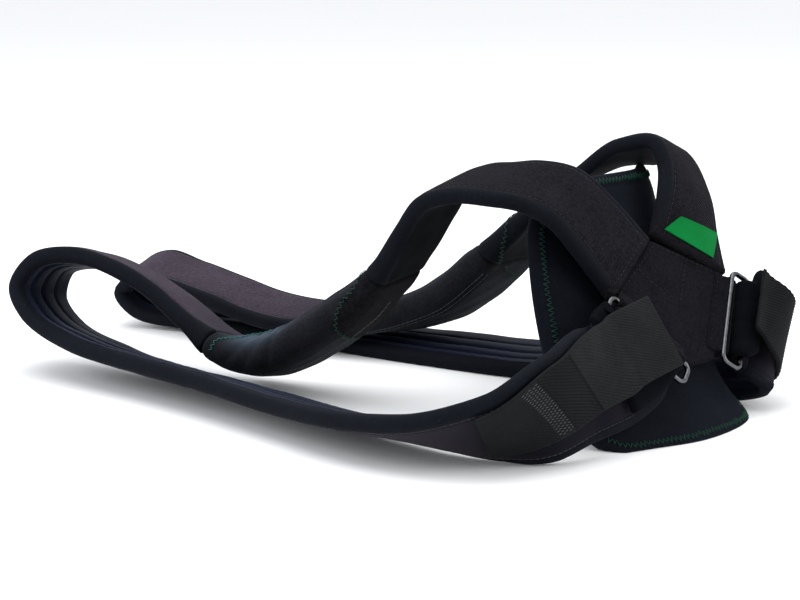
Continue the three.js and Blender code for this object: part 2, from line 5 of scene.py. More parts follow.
import bpy
import numpy as np
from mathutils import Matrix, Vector


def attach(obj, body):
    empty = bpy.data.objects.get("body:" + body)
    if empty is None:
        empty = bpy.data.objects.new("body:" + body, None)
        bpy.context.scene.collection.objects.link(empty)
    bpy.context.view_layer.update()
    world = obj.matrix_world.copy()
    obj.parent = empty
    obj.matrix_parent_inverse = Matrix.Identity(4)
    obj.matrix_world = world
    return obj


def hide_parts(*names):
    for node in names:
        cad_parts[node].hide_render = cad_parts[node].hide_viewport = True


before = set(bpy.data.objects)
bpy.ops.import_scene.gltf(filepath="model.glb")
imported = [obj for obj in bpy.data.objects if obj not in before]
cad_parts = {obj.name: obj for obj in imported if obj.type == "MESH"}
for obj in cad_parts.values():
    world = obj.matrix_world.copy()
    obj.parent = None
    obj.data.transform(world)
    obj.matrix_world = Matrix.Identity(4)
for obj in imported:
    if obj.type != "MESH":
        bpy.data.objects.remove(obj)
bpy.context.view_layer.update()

MM = 0.001
RAD = math.pi / 180
SHIFT = np.array([48.7, -202.8, 0.0])          # from the tables' own origin to the row frame, mm
LEAN_SIN, LEAN_COS = math.sin(29.4 * RAD), math.cos(29.4 * RAD)

# ------------------------------------------------------------------ tables (mm, degrees)
# x, y, z: middle of the section; turn, tip: heading and climb of the line across; w, h: size
LEFT_ROWS = [
    (-22.6, 46.6, 73.2, 15, 24.6, 48, 7.6), (-35, 55.5, 91.5, 21, 24, 49, 8),
    (-47, 63.5, 105.8, 24, 21, 49, 8), (-57, 74.5, 111.4, 25, 15, 49, 8),
    (-65, 86, 112.4, 25, 11, 49, 8), (-71, 99, 112, 19, 8.5, 49, 8),
    (-75.8, 113, 106.5, 14, 7, 49, 8), (-77.4, 123.4, 93, 13.5, 5, 49, 8),
    (-80.2, 134.2, 76, 15.5, 5, 50, 10), (-83.8, 146.8, 60, 17, 3, 50, 14),
    (-89, 163, 44.4, 17, -3, 50, 17), (-95, 182, 30.6, 17, -5, 50, 18),
    (-102, 203, 19.6, 16, -9, 50, 18), (-108, 225, 17, 16, -19, 50, 15.5),
    (-112, 248, 28.6, 19, -20, 50, 9), (-116, 272, 42.2, 21, -19.5, 50, 8),
    (-122, 296, 52, 24, -17, 50, 8), (-131, 320, 57.2, 26, -14, 50, 8),
    (-141, 336.5, 53, 27, -13, 50, 8), (-147, 341, 38.5, 22, -18, 50, 8),
    (-147.5, 327, 24.5, 13, -20, 50, 8), (-145, 290, 14.6, 6, -17.5, 50, 8),
    (-142, 240, 10.7, 2, -19, 50, 8), (-142, 186, 10.2, -2, -18, 50, 8),
    (-146, 132, 9.9, -5, -16.5, 50, 8), (-150, 88, 12.3, -2, -16, 50, 8),
    (-147, 51, 14.6, 13, -24, 50, 8), (-133, 26, 19.2, 30, -44, 50, 8),
    (-112, 14.2, 25.8, 16, -77, 50, 8), (-87, 15.8, 31.6, -26, -68, 50, 7.4),
    (-62, 22.2, 31.6, -46, -54, 49, 6.2),
]
RIGHT_ROWS = [
    (23.4, 47.1, 74.2, -15, -24.6, 48, 7.6), (35, 56.5, 89, 0, -29, 49, 8),
    (44.5, 66.5, 105, 8, -27, 49, 8), (46.6, 79, 119, 17, -17, 49, 8),
    (41, 95.5, 117, 20, -15, 49, 8), (36, 115, 108.4, 19, 2, 49, 8),
    (32, 137, 94, 17, 8, 49, 8), (29.5, 157, 72.5, 11, 3, 50, 12),
    (26.5, 177, 51.6, 9, -6, 50, 16.5), (19.5, 199, 32.8, 14, -9, 50, 16.5),
    (10, 220, 22.6, 18, -9, 50, 15), (0, 240, 17.8, 21, -3, 50, 12.4),
    (-9, 261, 16, 22, 3, 50, 9.5), (-17, 283, 16, 22, 4.5, 50, 8),
    (-22, 308, 18.6, 22, 3, 50, 8), (-26, 336, 24, 23, 2.5, 50, 8),
    (-31, 364, 29, 24, 4, 50, 8), (-36, 386, 31.5, 25, 8, 50, 8),
    (-39, 396, 25, 25, 13, 50, 8), (-34, 388, 14.5, 22, 13, 50, 8),
    (-22, 362, 8.5, 20, 8, 50, 8), (-6, 318, 3.9, 18, 0.8, 50, 8),
    (5, 264, 3.7, 15, 1, 50, 8), (16, 202, 4.6, 14, 3.6, 50, 8),
    (29, 146, 5.6, 15, 5, 50, 8), (49, 99, 9.6, 14, 12, 50, 8),
    (55.5, 64, 16.6, 12, 33, 50, 8), (53.6, 36, 23, 20, 64, 50, 8),
    (50.4, 18.4, 29, 38, 54, 49, 6.6),
]
CUTS = {"left": (8.55, 13.3), "right": (7.55, 12.35)}    # shoulder strap | front pad | loop strap
# places counted back from the ring: lift, slide towards the ring's upper end, width, thickness
LEFT_FOLD = [
    (0, 8.6, 0.4, 43, 4.6), (0.5, 9, 4.6, 47, 5), (1, 8.6, 6.4, 49, 5.2),
    (1.7, 7.8, 5.4, 49, 5.2), (2.3, 7.2, 3.6, 47, 4.2),
]
RIGHT_FOLD = [
    (0, 8.6, 0.2, 43, 4.6), (0.4, 8.4, 6.4, 48, 4.6), (0.8, 7.4, 8, 48, 4.4),
    (1.1, 6.8, 6.8, 47, 4), (1.35, 6.4, 5, 45, 3.4),
]
LEFT_TAB = [
    (-0.6, 16, 7), (0.6, 14.8, 7), (1.3, 13.6, 7), (1.9, 12.4, 6.6), (2.3, 11.2, 5.6),
    (2.7, 7.8, 5.8), (3.2, 6.4, 5.8), (4.2, 6.2, 5.2), (5.2, 6.4, 4.6),
]
RIGHT_TAB = [
    (-0.2, 15.4, 6), (0.3, 15.2, 6), (0.8, 15.2, 6), (1.2, 14.8, 5.8), (1.5, 13.6, 5),
    (1.8, 11.6, 4), (2.1, 9.2, 3.2), (2.5, 7.4, 2.2), (3, 6.6, 1),
]
# along the pad, its x, forward bend, toe | up the pad, distance behind the rings, left, right, share of bend
PAD_ACROSS = [
    (-84, -80, 9, 4), (-56, -54, 3, 5), (-28, -27, 0.5, 9), (0, 0, 0, 6),
    (22, 20.5, 4, 2), (42, 33, 17, 0), (60, 36.5, 34.5, 0), (78, 36, 51, 0),
]
PAD_UP = [
    (0, 7, 71, 25, 1), (8, 10, 79, 38, 1), (24, 14.2, 83, 56, 1), (46, 15.2, 82, 68, 1),
    (72, 15.8, 77, 70, 1), (98, 16.8, 69, 71, 0.8), (118, 17.4, 60, 71, 0.55), (137, 17.8, 40, 62, 0.42),
]
# label: place along the right shoulder strap and distance from its middle, left end | right end, lift
LABEL_ROWS = [
    (0.05, -20, 0.05, 12.5, 1.6), (0.29, -16.6, 0.46, 14.3, 2), (0.53, -13.2, 0.87, 16, 2.7),
]
YOKE = [(0, 97.6), (-43, 74), (-12, 34), (12, 34), (43, 74)]
YOKE_FLOOR, YOKE_FACE = -8.8, -3.2
RING_LONG, RING_SHORT, RING_CORNER, WIRE = 52.0, 11.0, 3.4, 2.8
FOLD_RADIUS, RING_SLIDE, RING_SKEW = 4.3, 1.6, 1.8
PAD_TOP = 137.0
PAD_SPREAD = 0.8
TAB_HALF = 17.75
TAB_STRAIGHT, TAB_PITCH = {"left": 1.9, "right": 0.8}, 12.0


# ------------------------------------------------------------------ small maths
def unit(v):
    v = np.asarray(v, float)
    return v / np.maximum(np.linalg.norm(v, axis=-1, keepdims=True), 1e-12)


def on_back(x, up, out):
    x, up, out = np.broadcast_arrays(np.asarray(x, float), np.asarray(up, float), np.asarray(out, float))
    return np.stack([x, up * LEAN_SIN - out * LEAN_COS, up * LEAN_COS + out * LEAN_SIN], -1)


def spline(pts, u):
    """Centripetal curve through rows, u counted in rows."""
    pts, u = np.asarray(pts, float), np.asarray(u, float)
    n = len(pts)
    ext = np.vstack([2 * pts[0] - pts[1], pts, 2 * pts[-1] - pts[-2]])
    i = np.clip(np.floor(u).astype(int), 0, n - 2)
    f = (u - i)[:, None]
    p0, p1, p2, p3 = ext[i], ext[i + 1], ext[i + 2], ext[i + 3]
    step = lambda a, b: np.sqrt(np.linalg.norm(b - a, axis=1))[:, None]
    d0, d1, d2 = step(p0, p1), step(p1, p2), step(p2, p3)
    d1 = np.where(d1 < 1e-4, 1.0, d1)
    d0 = np.where(d0 < 1e-4, d1, d0)
    d2 = np.where(d2 < 1e-4, d1, d2)
    t1 = ((p1 - p0) / d0 - (p2 - p0) / (d0 + d1) + (p2 - p1) / d1) * d1
    t2 = ((p2 - p1) / d1 - (p3 - p1) / (d1 + d2) + (p3 - p2) / d2) * d1
    return p1 + t1 * f + (-3 * p1 + 3 * p2 - 2 * t1 - t2) * f ** 2 + (2 * p1 - 2 * p2 + t1 + t2) * f ** 3


def reading(rows, col, x):
    """Smooth reading of a table's column at x, keyed by its first column."""
    rows = np.asarray(rows, float)
    k, v = rows[:, 0], rows[:, col]
    x = np.asarray(x, float)
    i = np.clip(np.searchsorted(k, x, side="left") - 1, 0, len(k) - 2)
    h = k[i + 1] - k[i]
    f = (x - k[i]) / h
    lo, hi = np.maximum(i - 1, 0), np.minimum(i + 2, len(k) - 1)
    chord = (v[i + 1] - v[i]) / h
    ma = np.where(i == 0, chord, (v[i + 1] - v[lo]) / np.where(i == 0, 1, k[i + 1] - k[lo]))
    mb = np.where(i == len(k) - 2, chord, (v[hi] - v[i]) / np.where(i == len(k) - 2, 1, k[hi] - k[i]))
    return (2 * f ** 3 - 3 * f ** 2 + 1) * v[i] + (f ** 3 - 2 * f ** 2 + f) * h * ma + (3 * f ** 2 - 2 * f ** 3) * v[i + 1] + (f ** 3 - f ** 2) * h * mb


def ease(x, a, b):
    t = np.clip((x - a) / (b - a), 0, 1)
    return t * t * (3 - 2 * t)


def bell(x, at, width):
    return np.exp(-((x - at) / width) ** 2)


def ripple(s, a, seed, size=26.0):
    """Smooth uneven swelling of cloth, about -1 to 1."""
    r = np.random.default_rng(seed)
    out = 0
    for _ in range(7):
        k = (0.5 + r.random()) * 2 * math.pi / size
        t = (r.random() - 0.5) * 2.4
        out = out + np.sin(k * (s * math.cos(t) + a * math.sin(t)) + r.random() * 6.28) / 7 * 1.5
    return out


# ------------------------------------------------------------------ mesh building
def link(obj):
    bpy.context.scene.collection.objects.link(obj)
    return obj


def to_world(p):
    return (np.asarray(p, float) + SHIFT) * MM


def raw_mesh(name, verts_mm, faces, materials, which=None, uvs=None, smooth=True, tone=None):
    me = bpy.data.meshes.new(name)
    me.from_pydata([tuple(v) for v in to_world(verts_mm)], [], faces)
    if uvs is not None:
        layer = me.uv_layers.new(name="UVMap")
        layer.data.foreach_set("uv", np.asarray(uvs, np.float32).ravel())
    for m in materials:
        me.materials.append(m)
    if which is not None:
        me.polygons.foreach_set("material_index", np.asarray(which, np.int32))
    if smooth:
        me.polygons.foreach_set("use_smooth", np.ones(len(faces), bool))
    if tone is not None:
        t = me.attributes.new("tone", "FLOAT", "POINT")
        t.data.foreach_set("value", np.asarray(tone, np.float32).ravel())
    me.update()
    return link(bpy.data.objects.new(name, me))


def volume(p, faces):
    tri = []
    for f in faces:
        for j in range(1, len(f) - 1):
            tri.append((f[0], f[j], f[j + 1]))
    t = np.asarray(tri)
    a, b, c = p[t[:, 0]], p[t[:, 1]], p[t[:, 2]]
    return float(np.einsum("ij,ij->i", a, np.cross(b, c)).sum() / 6)


def skin(name, P, along, around, zone, materials, tone=None, caps=True, cap=None):
    """Closed tube through rings P (n, K, 3); zone (K) picks the material of each strip."""
    n, K = P.shape[:2]
    verts = P.reshape(-1, 3)
    i, k = np.meshgrid(np.arange(n - 1), np.arange(K), indexing="ij")
    i, k = i.ravel(), k.ravel()
    l = (k + 1) % K
    quads = np.stack([i * K + k, (i + 1) * K + k, (i + 1) * K + l, i * K + l], 1)
    uv = np.stack([
        np.stack([along[i], around[k]], 1), np.stack([along[i + 1], around[k]], 1),
        np.stack([along[i + 1], around[k + 1]], 1), np.stack([along[i], around[k + 1]], 1)], 1)
    zone = np.asarray(zone)
    which = zone[k] if zone.ndim == 1 else zone[i, k]
    flip = volume(verts, quads.tolist()) < 0
    if flip:
        quads, uv = quads[:, ::-1], uv[:, ::-1]
    faces, uvs, which = quads.tolist(), uv.reshape(-1, 2).tolist(), which.tolist()
    tones = None if tone is None else np.asarray(tone).ravel().tolist()
    if caps:
        extra = []
        for end in (0, n - 1):
            c = len(verts) + len(extra)
            extra.append(P[end].mean(0))
            if tones is not None:
                tones.append(float(np.mean(tone[end])))
            for kk in range(K):
                ll = (kk + 1) % K
                tri = [c, end * K + kk, end * K + ll]
                if (end == 0) == flip:
                    tri = [tri[0], tri[2], tri[1]]
                faces.append(tri)
                uvs.extend([[along[end], 0.0]] * 3)
                which.append(int(zone.ravel()[-1]) if cap is None else cap)
        verts = np.vstack([verts, np.asarray(extra)])
    return raw_mesh(name, verts, faces, materials, which, uvs, True, tones)


class Surface:
    """A grid of points that thread can be laid on; wrap says the second way round is closed."""

    def __init__(self, P, wrap, flip=False):
        self.P, self.wrap = P, wrap
        di = np.gradient(P, axis=0)
        dk = (np.roll(P, -1, 1) - np.roll(P, 1, 1)) if wrap else np.gradient(P, axis=1)
        self.N = unit(np.cross(di, dk)) * (-1 if flip else 1)

    def at(self, i, k, lift=0.0):
        n, K = self.P.shape[:2]
        i = np.clip(np.asarray(i, float), 0, n - 1.001)
        k = np.mod(np.asarray(k, float), K) if self.wrap else np.clip(np.asarray(k, float), 0, K - 1.001)
        i0, k0 = np.floor(i).astype(int), np.floor(k).astype(int)
        fi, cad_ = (i - i0)[..., None], (k - k0)[..., None]
        k1 = (k0 + 1) % K

        def mix(A):
            return (A[i0, k0] * (1 - fi) + A[i0 + 1, k0] * fi) * (1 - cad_) + (A[i0, k1] * (1 - fi) + A[i0 + 1, k1] * fi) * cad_
        p, nrm = mix(self.P), unit(mix(self.N))
        return p + nrm * np.asarray(lift)[..., None] if np.ndim(lift) else p + nrm * lift, nrm


class Thread:
    """Many short round strands gathered into one piece."""

    def __init__(self):
        self.v, self.f, self.count = [], [], 0

    def strand(self, pts, r, sides=5):
        pts = np.asarray(pts, float)
        n = len(pts)
        if n < 2:
            return
        ahead = unit(np.gradient(pts, axis=0))
        ref = np.where(np.abs(ahead[:, 2:3]) < 0.9, [[0.0, 0, 1]], [[1.0, 0, 0]])
        a = unit(np.cross(ahead, ref))
        b = np.cross(ahead, a)
        t = np.arange(sides) / sides * 2 * math.pi
        taper = np.ones(n)
        taper[0] = taper[-1] = 0.45
        ring = pts[:, None] + (a[:, None] * np.cos(t)[None, :, None] + b[:, None] * np.sin(t)[None, :, None]) * (r * taper)[:, None, None]
        base = self.count
        self.v.append(ring.reshape(-1, 3))
        for i in range(n - 1):
            for k in range(sides):
                l = (k + 1) % sides
                self.f.append((base + i * sides + k, base + i * sides + l, base + (i + 1) * sides + l, base + (i + 1) * sides + k))
        self.f.append(tuple(base + k for k in range(sides))[::-1])
        self.f.append(tuple(base + (n - 1) * sides + k for k in range(sides)))
        self.count += n * sides

    def build(self, name, material):
        v = np.vstack(self.v)
        v[:, 2] = np.maximum(v[:, 2], 0.0)
        return raw_mesh(name, v, self.f, [material])


def polyline(pts, step):
    """Points evenly spaced along a line of points, and the row each came from."""
    pts = np.asarray(pts, float)
    s = np.concatenate([[0], np.cumsum(np.linalg.norm(np.diff(pts, axis=0), axis=1))])
    n = max(2, int(round(s[-1] / step)) + 1)
    want = np.linspace(0, s[-1], n)
    return want, np.interp(want, s, np.arange(len(pts)))


def zigzag(thread, surface, line, pitch, amp, r, lift=0.25, seed=1):
    """Zigzag stitch along a line of (i, k) places on a surface."""
    rnd = np.random.default_rng(seed)
    line = np.asarray(line, float)
    fine = np.stack([np.interp(np.linspace(0, len(line) - 1, 400), np.arange(len(line)), line[:, j]) for j in (0, 1)], 1)
    p, _ = surface.at(fine[:, 0], fine[:, 1])
    want, row = polyline(p, pitch / 2)
    ij = np.stack([np.interp(row, np.arange(400), fine[:, j]) for j in (0, 1)], 1)
    q, nrm = surface.at(ij[:, 0], ij[:, 1], lift)
    side = unit(np.cross(nrm, np.gradient(q, axis=0)))
    sign = np.where(np.arange(len(q)) % 2 == 0, 1.0, -1.0)
    pts = q + side * (sign * amp * (1 + 0.18 * rnd.standard_normal(len(q))))[:, None]
    for a, b, m in zip(pts[:-1], pts[1:], nrm[:-1]):
        t = np.linspace(0, 1, 4)[:, None]
        thread.strand(a + (b - a) * t + m * (0.18 * np.sin(t * math.pi)), r)


def dashes(thread, surface, line, pitch, share, r, lift=0.08, sides=5):
    """Straight stitch along a line of (i, k) places on a surface."""
    line = np.asarray(line, float)
    fine = np.stack([np.interp(np.linspace(0, len(line) - 1, 600), np.arange(len(line)), line[:, j]) for j in (0, 1)], 1)
    p, _ = surface.at(fine[:, 0], fine[:, 1])
    s = np.concatenate([[0], np.cumsum(np.linalg.norm(np.diff(p, axis=0), axis=1))])
    for k in range(int(s[-1] / pitch)):
        t = np.linspace(k * pitch, k * pitch + pitch * share, 4)
        row = np.interp(t, s, np.arange(600))
        q, nrm = surface.at(np.interp(row, np.arange(600), fine[:, 0]), np.interp(row, np.arange(600), fine[:, 1]),
                            lift * np.sin(np.linspace(0.15, math.pi - 0.15, 4)))
        thread.strand(q, r, sides)


# ------------------------------------------------------------------ materials
def nodes_of(name):
    m = bpy.data.materials.new(name)
    m.use_nodes = True
    nt = m.node_tree
    return m, nt, nt.nodes["Principled BSDF"]


def add(nt, kind, **sockets):
    n = nt.nodes.new(kind)
    for key, value in sockets.items():
        if key.startswith("p_"):
            setattr(n, key[2:], value)
    for key, value in sockets.items():
        if not key.startswith("p_"):
            n.inputs[key.replace("_", " ")].default_value = value
    return n


def join(nt, a, out, b, inp):
    nt.links.new(a.outputs[out], b.inputs[inp])


def mix_colour(nt, fac, one, two):
    """Blend of two colours (tuples or links) by a link or number."""
    n = nt.nodes.new("ShaderNodeMixRGB")
    for value, inp in ((fac, "Fac"), (one, "Color1"), (two, "Color2")):
        if isinstance(value, tuple) and len(value) == 2 and hasattr(value[0], "outputs"):
            nt.links.new(value[0].outputs[value[1]], n.inputs[inp])
        elif isinstance(value, (int, float)):
            n.inputs[inp].default_value = value
        else:
            n.inputs[inp].default_value = (*value, 1)
    return (n, "Color")


def maths(nt, op, a, b=0.0):
    n = nt.nodes.new("ShaderNodeMath")
    n.operation = op
    for value, inp in ((a, 0), (b, 1)):
        if isinstance(value, tuple):
            nt.links.new(value[0].outputs[value[1]], n.inputs[inp])
        else:
            n.inputs[inp].default_value = value
    return (n, "Value")


def cloth(name, dark, light, rough, spec, sheen=0.0, sheen_colour=(0.5, 0.5, 0.6), twill=None, mottle=55.0,
          grain=1.0, tone=None, weave=0.35, depth=0.00025, spots=None, mid=0.5):
    """Woven or napped cloth: two tones that drift over the piece, an optional diagonal weave
    (pitch in mm, angle) and a fine raised grain."""
    m, nt, b = nodes_of(name)
    geo = nt.nodes.new("ShaderNodeTexCoord")
    big = add(nt, "ShaderNodeTexNoise", Scale=mottle, Detail=4.0, Roughness=0.6)
    fine = add(nt, "ShaderNodeTexNoise", Scale=1900.0, Detail=3.0, Roughness=0.7)
    join(nt, geo, "Object", big, "Vector")
    join(nt, geo, "Object", fine, "Vector")
    level = maths(nt, "ADD", maths(nt, "MULTIPLY", (big, "Fac"), 1.5), -0.25)
    level = maths(nt, "ADD", maths(nt, "MULTIPLY", level, 0.6), maths(nt, "MULTIPLY", maths(nt, "SUBTRACT", (fine, "Fac"), 0.3), 0.9 * grain))
    loops = add(nt, "ShaderNodeTexNoise", Scale=620.0, Detail=2.0, Roughness=0.6)
    join(nt, geo, "Object", loops, "Vector")
    level = maths(nt, "ADD", level, maths(nt, "MULTIPLY", maths(nt, "SUBTRACT", (loops, "Fac"), 0.5), 2.0 * mid))
    height = maths(nt, "ADD", maths(nt, "MULTIPLY", (fine, "Fac"), 0.8 * grain), maths(nt, "MULTIPLY", (loops, "Fac"), mid))
    if twill:
        pitch, angle = twill
        turn = nt.nodes.new("ShaderNodeMapping")
        turn.inputs["Rotation"].default_value = (0, 0, angle * RAD)
        join(nt, geo, "UV", turn, "Vector")
        wave = add(nt, "ShaderNodeTexWave", Scale=0.31416 / pitch, Distortion=0.6, Detail=2.0)
        wave.inputs["Detail Scale"].default_value = 1.4
        join(nt, turn, "Vector", wave, "Vector")
        level = maths(nt, "ADD", level, maths(nt, "MULTIPLY", maths(nt, "SUBTRACT", (wave, "Fac"), 0.5), weave))
        height = maths(nt, "ADD", height, maths(nt, "MULTIPLY", (wave, "Fac"), 1.0))
    colour = mix_colour(nt, level, dark, light)
    colour[0].use_clamp = True
    if tone is not None:
        mark = add(nt, "ShaderNodeAttribute", p_attribute_name="tone")
        colour = mix_colour(nt, (mark, "Fac"), colour, tone)
    if spots is not None:
        dust = add(nt, "ShaderNodeTexNoise", Scale=900.0, Detail=1.0)
        join(nt, geo, "Object", dust, "Vector")
        speck = maths(nt, "MULTIPLY", maths(nt, "GREATER_THAN", (dust, "Fac"), 0.74), 0.6)
        colour = mix_colour(nt, speck, colour, spots)
    nt.links.new(colour[0].outputs[colour[1]], b.inputs["Base Color"])
    bump = add(nt, "ShaderNodeBump", Strength=0.55, Distance=depth)
    nt.links.new(height[0].outputs[height[1]], bump.inputs["Height"])
    join(nt, bump, "Normal", b, "Normal")
    b.inputs["Roughness"].default_value = rough
    b.inputs["Specular IOR Level"].default_value = spec
    b.inputs["Sheen Weight"].default_value = sheen
    b.inputs["Sheen Roughness"].default_value = 0.45
    b.inputs["Sheen Tint"].default_value = (*sheen_colour, 1)
    return m


LOOP = cloth("loop_fabric", (0.0016, 0.0015, 0.0021), (0.0118, 0.0110, 0.0140), 0.95, 0.04, 0.02, (0.55, 0.52, 0.62),
             twill=(1.0, 52), weave=0.75, grain=1.7, depth=0.0004, mid=1.1)
KNIT = cloth("loop_knit", (0.0014, 0.0013, 0.0018), (0.0084, 0.0077, 0.0102), 0.95, 0.04, 0.02, (0.55, 0.52, 0.62), grain=2.1, mottle=90, depth=0.0004, mid=0.8)
NAVY = cloth("navy_laminate", (0.0024, 0.0029, 0.0050), (0.0058, 0.0070, 0.0112), 0.75, 0.05, 0.02, (0.5, 0.55, 0.75), grain=0.9,
             spots=(0.018, 0.022, 0.031))
# a darker copy of the navy cloth: painted shade on the shoulder straps' inner faces and on the loop straps' ends where
# they fold through the rings
SHADED_NAVY = cloth("strap_lining", (0.0012, 0.0014, 0.0022), (0.0032, 0.0038, 0.0056), 0.85, 0.03, 0.01, (0.5, 0.55, 0.75), grain=1.0)
QUILT = cloth("navy_quilt", (0.0018, 0.0023, 0.0056), (0.0084, 0.0108, 0.0262), 0.6, 0.06, 0.05, (0.45, 0.55, 0.9), grain=0.5, mottle=40, mid=0.3)
# tone colour: a light bluish painted highlight, laid on the left front pad's lip
PADCLOTH = cloth("front_pad_cloth", (0.0036, 0.0037, 0.0049), (0.0122, 0.0125, 0.0158), 0.85, 0.05, 0.05, (0.6, 0.65, 0.8), grain=1.5, mottle=80, mid=0.7,
                 tone=(0.060, 0.082, 0.112), depth=0.0004)
BACKCLOTH = cloth("back_pad_cloth", (0.0022, 0.0028, 0.0048), (0.0058, 0.0070, 0.0110), 0.85, 0.04, 0.03, (0.5, 0.6, 0.8), grain=1.2)
VELOUR = cloth("velour", (0.0075, 0.0058, 0.0085), (0.0455, 0.0352, 0.0495), 0.95, 0.04, 0.12, (0.6, 0.5, 0.62), mottle=48, grain=1.7,
               mid=0.9, depth=0.0003, tone=(0.0050, 0.0056, 0.0084))
# tone colour: darker webbing; painted shade for the rib troughs, the part past the stitching and the far tab, and also
# used for the darker seams, middle band and underside
WEBBING = cloth("webbing", (0.0070, 0.0074, 0.0084), (0.0205, 0.0212, 0.0232), 0.8, 0.06, 0.02, (0.7, 0.7, 0.75), grain=0.9, mid=0.4,
                depth=0.0002, tone=(0.0028, 0.0030, 0.0036))
LABEL = cloth("label_green", (0.0, 0.115, 0.022), (0.0, 0.185, 0.037), 0.7, 0.05, 0.0, (0.6, 1.0, 0.7), grain=0.5, mottle=90, mid=0.25,
              twill=(0.7, 0), weave=0.25, depth=0.0001)


def thread_material(name, colour):
    m, nt, b = nodes_of(name)
    geo = nt.nodes.new("ShaderNodeTexCoord")
    noise = add(nt, "ShaderNodeTexNoise", Scale=700.0, Detail=2.0)
    join(nt, geo, "Object", noise, "Vector")
    c = mix_colour(nt, (noise, "Fac"), tuple(x * 0.5 for x in colour), tuple(x * 1.45 for x in colour))
    nt.links.new(c[0].outputs[c[1]], b.inputs["Base Color"])
    b.inputs["Roughness"].default_value = 0.6
    b.inputs["Specular IOR Level"].default_value = 0.25
    return m


GREEN = thread_material("green_thread", (0.003, 0.036, 0.022))
TEAL = thread_material("teal_thread", (0.014, 0.105, 0.085))
GREY = thread_material("grey_thread", (0.052, 0.053, 0.058))
DIM = thread_material("dim_thread", (0.016, 0.016, 0.02))
PALE = thread_material("pale_thread", (0.085, 0.095, 0.115))

STEEL, _nt, _b = nodes_of("ring_steel")
_geo = _nt.nodes.new("ShaderNodeTexCoord")
_n = add(_nt, "ShaderNodeTexNoise", Scale=420.0, Detail=3.0)
join(_nt, _geo, "Object", _n, "Vector")
_c = mix_colour(_nt, (_n, "Fac"), (0.055, 0.057, 0.062), (0.145, 0.149, 0.158))
_nt.links.new(_c[0].outputs[_c[1]], _b.inputs["Base Color"])
_r = maths(_nt, "ADD", maths(_nt, "MULTIPLY", (_n, "Fac"), 0.18), 0.14)
_nt.links.new(_r[0].outputs[_r[1]], _b.inputs["Roughness"])
_b.inputs["Metallic"].default_value = 1.0


# ------------------------------------------------------------------ straps
class Path:
    def __init__(self, rows):
        r = np.asarray(rows, float)
        self.mid = r[:, :3]
        turn, tip = r[:, 3] * RAD, r[:, 4] * RAD
        self.line = np.stack([np.cos(tip) * np.cos(turn), np.cos(tip) * np.sin(turn), np.sin(tip)], 1) * 100
        self.w, self.h, self.end = r[:, 5], r[:, 6], len(r) - 1
        grid = np.linspace(0, self.end, self.end * 40 + 1)
        self.grid = grid
        self.length = np.concatenate([[0], np.cumsum(np.linalg.norm(np.diff(spline(self.mid, grid), axis=0), axis=1))])

    def s_of(self, u):
        return np.interp(u, self.grid, self.length)

    def u_of(self, s):
        return np.interp(s, self.length, self.grid)

    def at(self, u):
        u = np.clip(np.asarray(u, float), 0, self.end)
        c = spline(self.mid, u)
        ahead = unit(spline(self.mid, np.minimum(u + 0.02, self.end)) - spline(self.mid, np.maximum(u - 0.02, 0)))
        d = spline(self.line, u)
        d = unit(d - (d * ahead).sum(1, keepdims=True) * ahead)
        out = unit(np.cross(d, ahead))
        i = np.minimum(np.floor(u).astype(int), self.end - 1)
        f = u - i
        f = f * f * (3 - 2 * f)
        return {"c": c, "d": d, "o": out, "t": ahead, "w": self.w[i] * (1 - f) + self.w[i + 1] * f,
                "h": self.h[i] * (1 - f) + self.h[i + 1] * f, "s": self.s_of(u), "u": u}


def ring_frame(sign):
    up, low = on_back(sign * 45.2, 73.3, 0), on_back(sign * 12.7, 32.7, 0)
    bar, outward = unit(low - up), unit(on_back(0, 0, 1))
    away = unit(np.cross(bar, outward))
    if away[0] * sign < 0:
        away = -away
    return {"bar": bar, "outward": outward, "away": away, "inner": (up + low) / 2, "outer": (up + low) / 2 + away * RING_SHORT}


NF, NE = 46, 11
T = np.linspace(-1, 1, NF)
PHI = np.linspace(90, -90, NE + 2)[1:-1] * RAD
K = 2 * (NF + NE)


def stations(s0, s1, step):
    """Places along a piece: close together at both ends, where the edge is rolled."""
    lead = np.array([0, 0.12, 0.35, 0.75, 1.3, 2.1])
    n = max(2, int((s1 - s0 - 2 * lead[-1]) / step))
    return np.concatenate([s0 + lead[:-1], np.linspace(s0 + lead[-1], s1 - lead[-1], n), (s1 - lead[:-1])[::-1]])


def rolled(f, start=True, end=True):
    s = f["s"]
    e = np.full(len(s), 9.0)
    if start:
        e = np.minimum(e, s - s[0])
    if end:
        e = np.minimum(e, s[-1] - s)
    r = np.sqrt(1 - (1 - np.clip(e / 2.1, 0, 1)) ** 2)
    f["h"] = f["h"] * (0.5 + 0.5 * r)
    f["w"] = f["w"] - 2.0 * (1 - r)
    return f


def section(f, outer, inner, soft=2.3):
    """Rings of points round a strap. outer, inner: swelling of the two faces over (a, half width, frame)."""
    A, B = f["w"][:, None] / 2, f["h"][:, None] / 2
    r = np.minimum(B * 1.1, A * 0.5)
    core = A - r
    face = core * T[None]
    ce = np.abs(np.cos(PHI)) ** (2 / soft)
    se = np.sign(PHI) * np.abs(np.sin(PHI)) ** (2 / soft)
    lip = core + r * ce[None]
    a = np.hstack([face, lip, face[:, ::-1], -lip[:, ::-1]])
    b = np.hstack([B + outer(face, A, f), B * se[None], -(B + inner(face, A, f))[:, ::-1], B * se[None, ::-1]])
    P = f["c"][:, None] + f["d"][:, None] * a[..., None] + f["o"][:, None] * b[..., None]
    P[..., 2] = np.maximum(P[..., 2], 0.0)
    return P, a


def around_of(P):
    ring = P[len(P) // 2]
    return np.concatenate([[0], np.cumsum(np.linalg.norm(np.diff(np.vstack([ring, ring[:1]]), axis=0), axis=1))])


def k_outer(t):
    return (np.asarray(t) + 1) / 2 * (NF - 1)


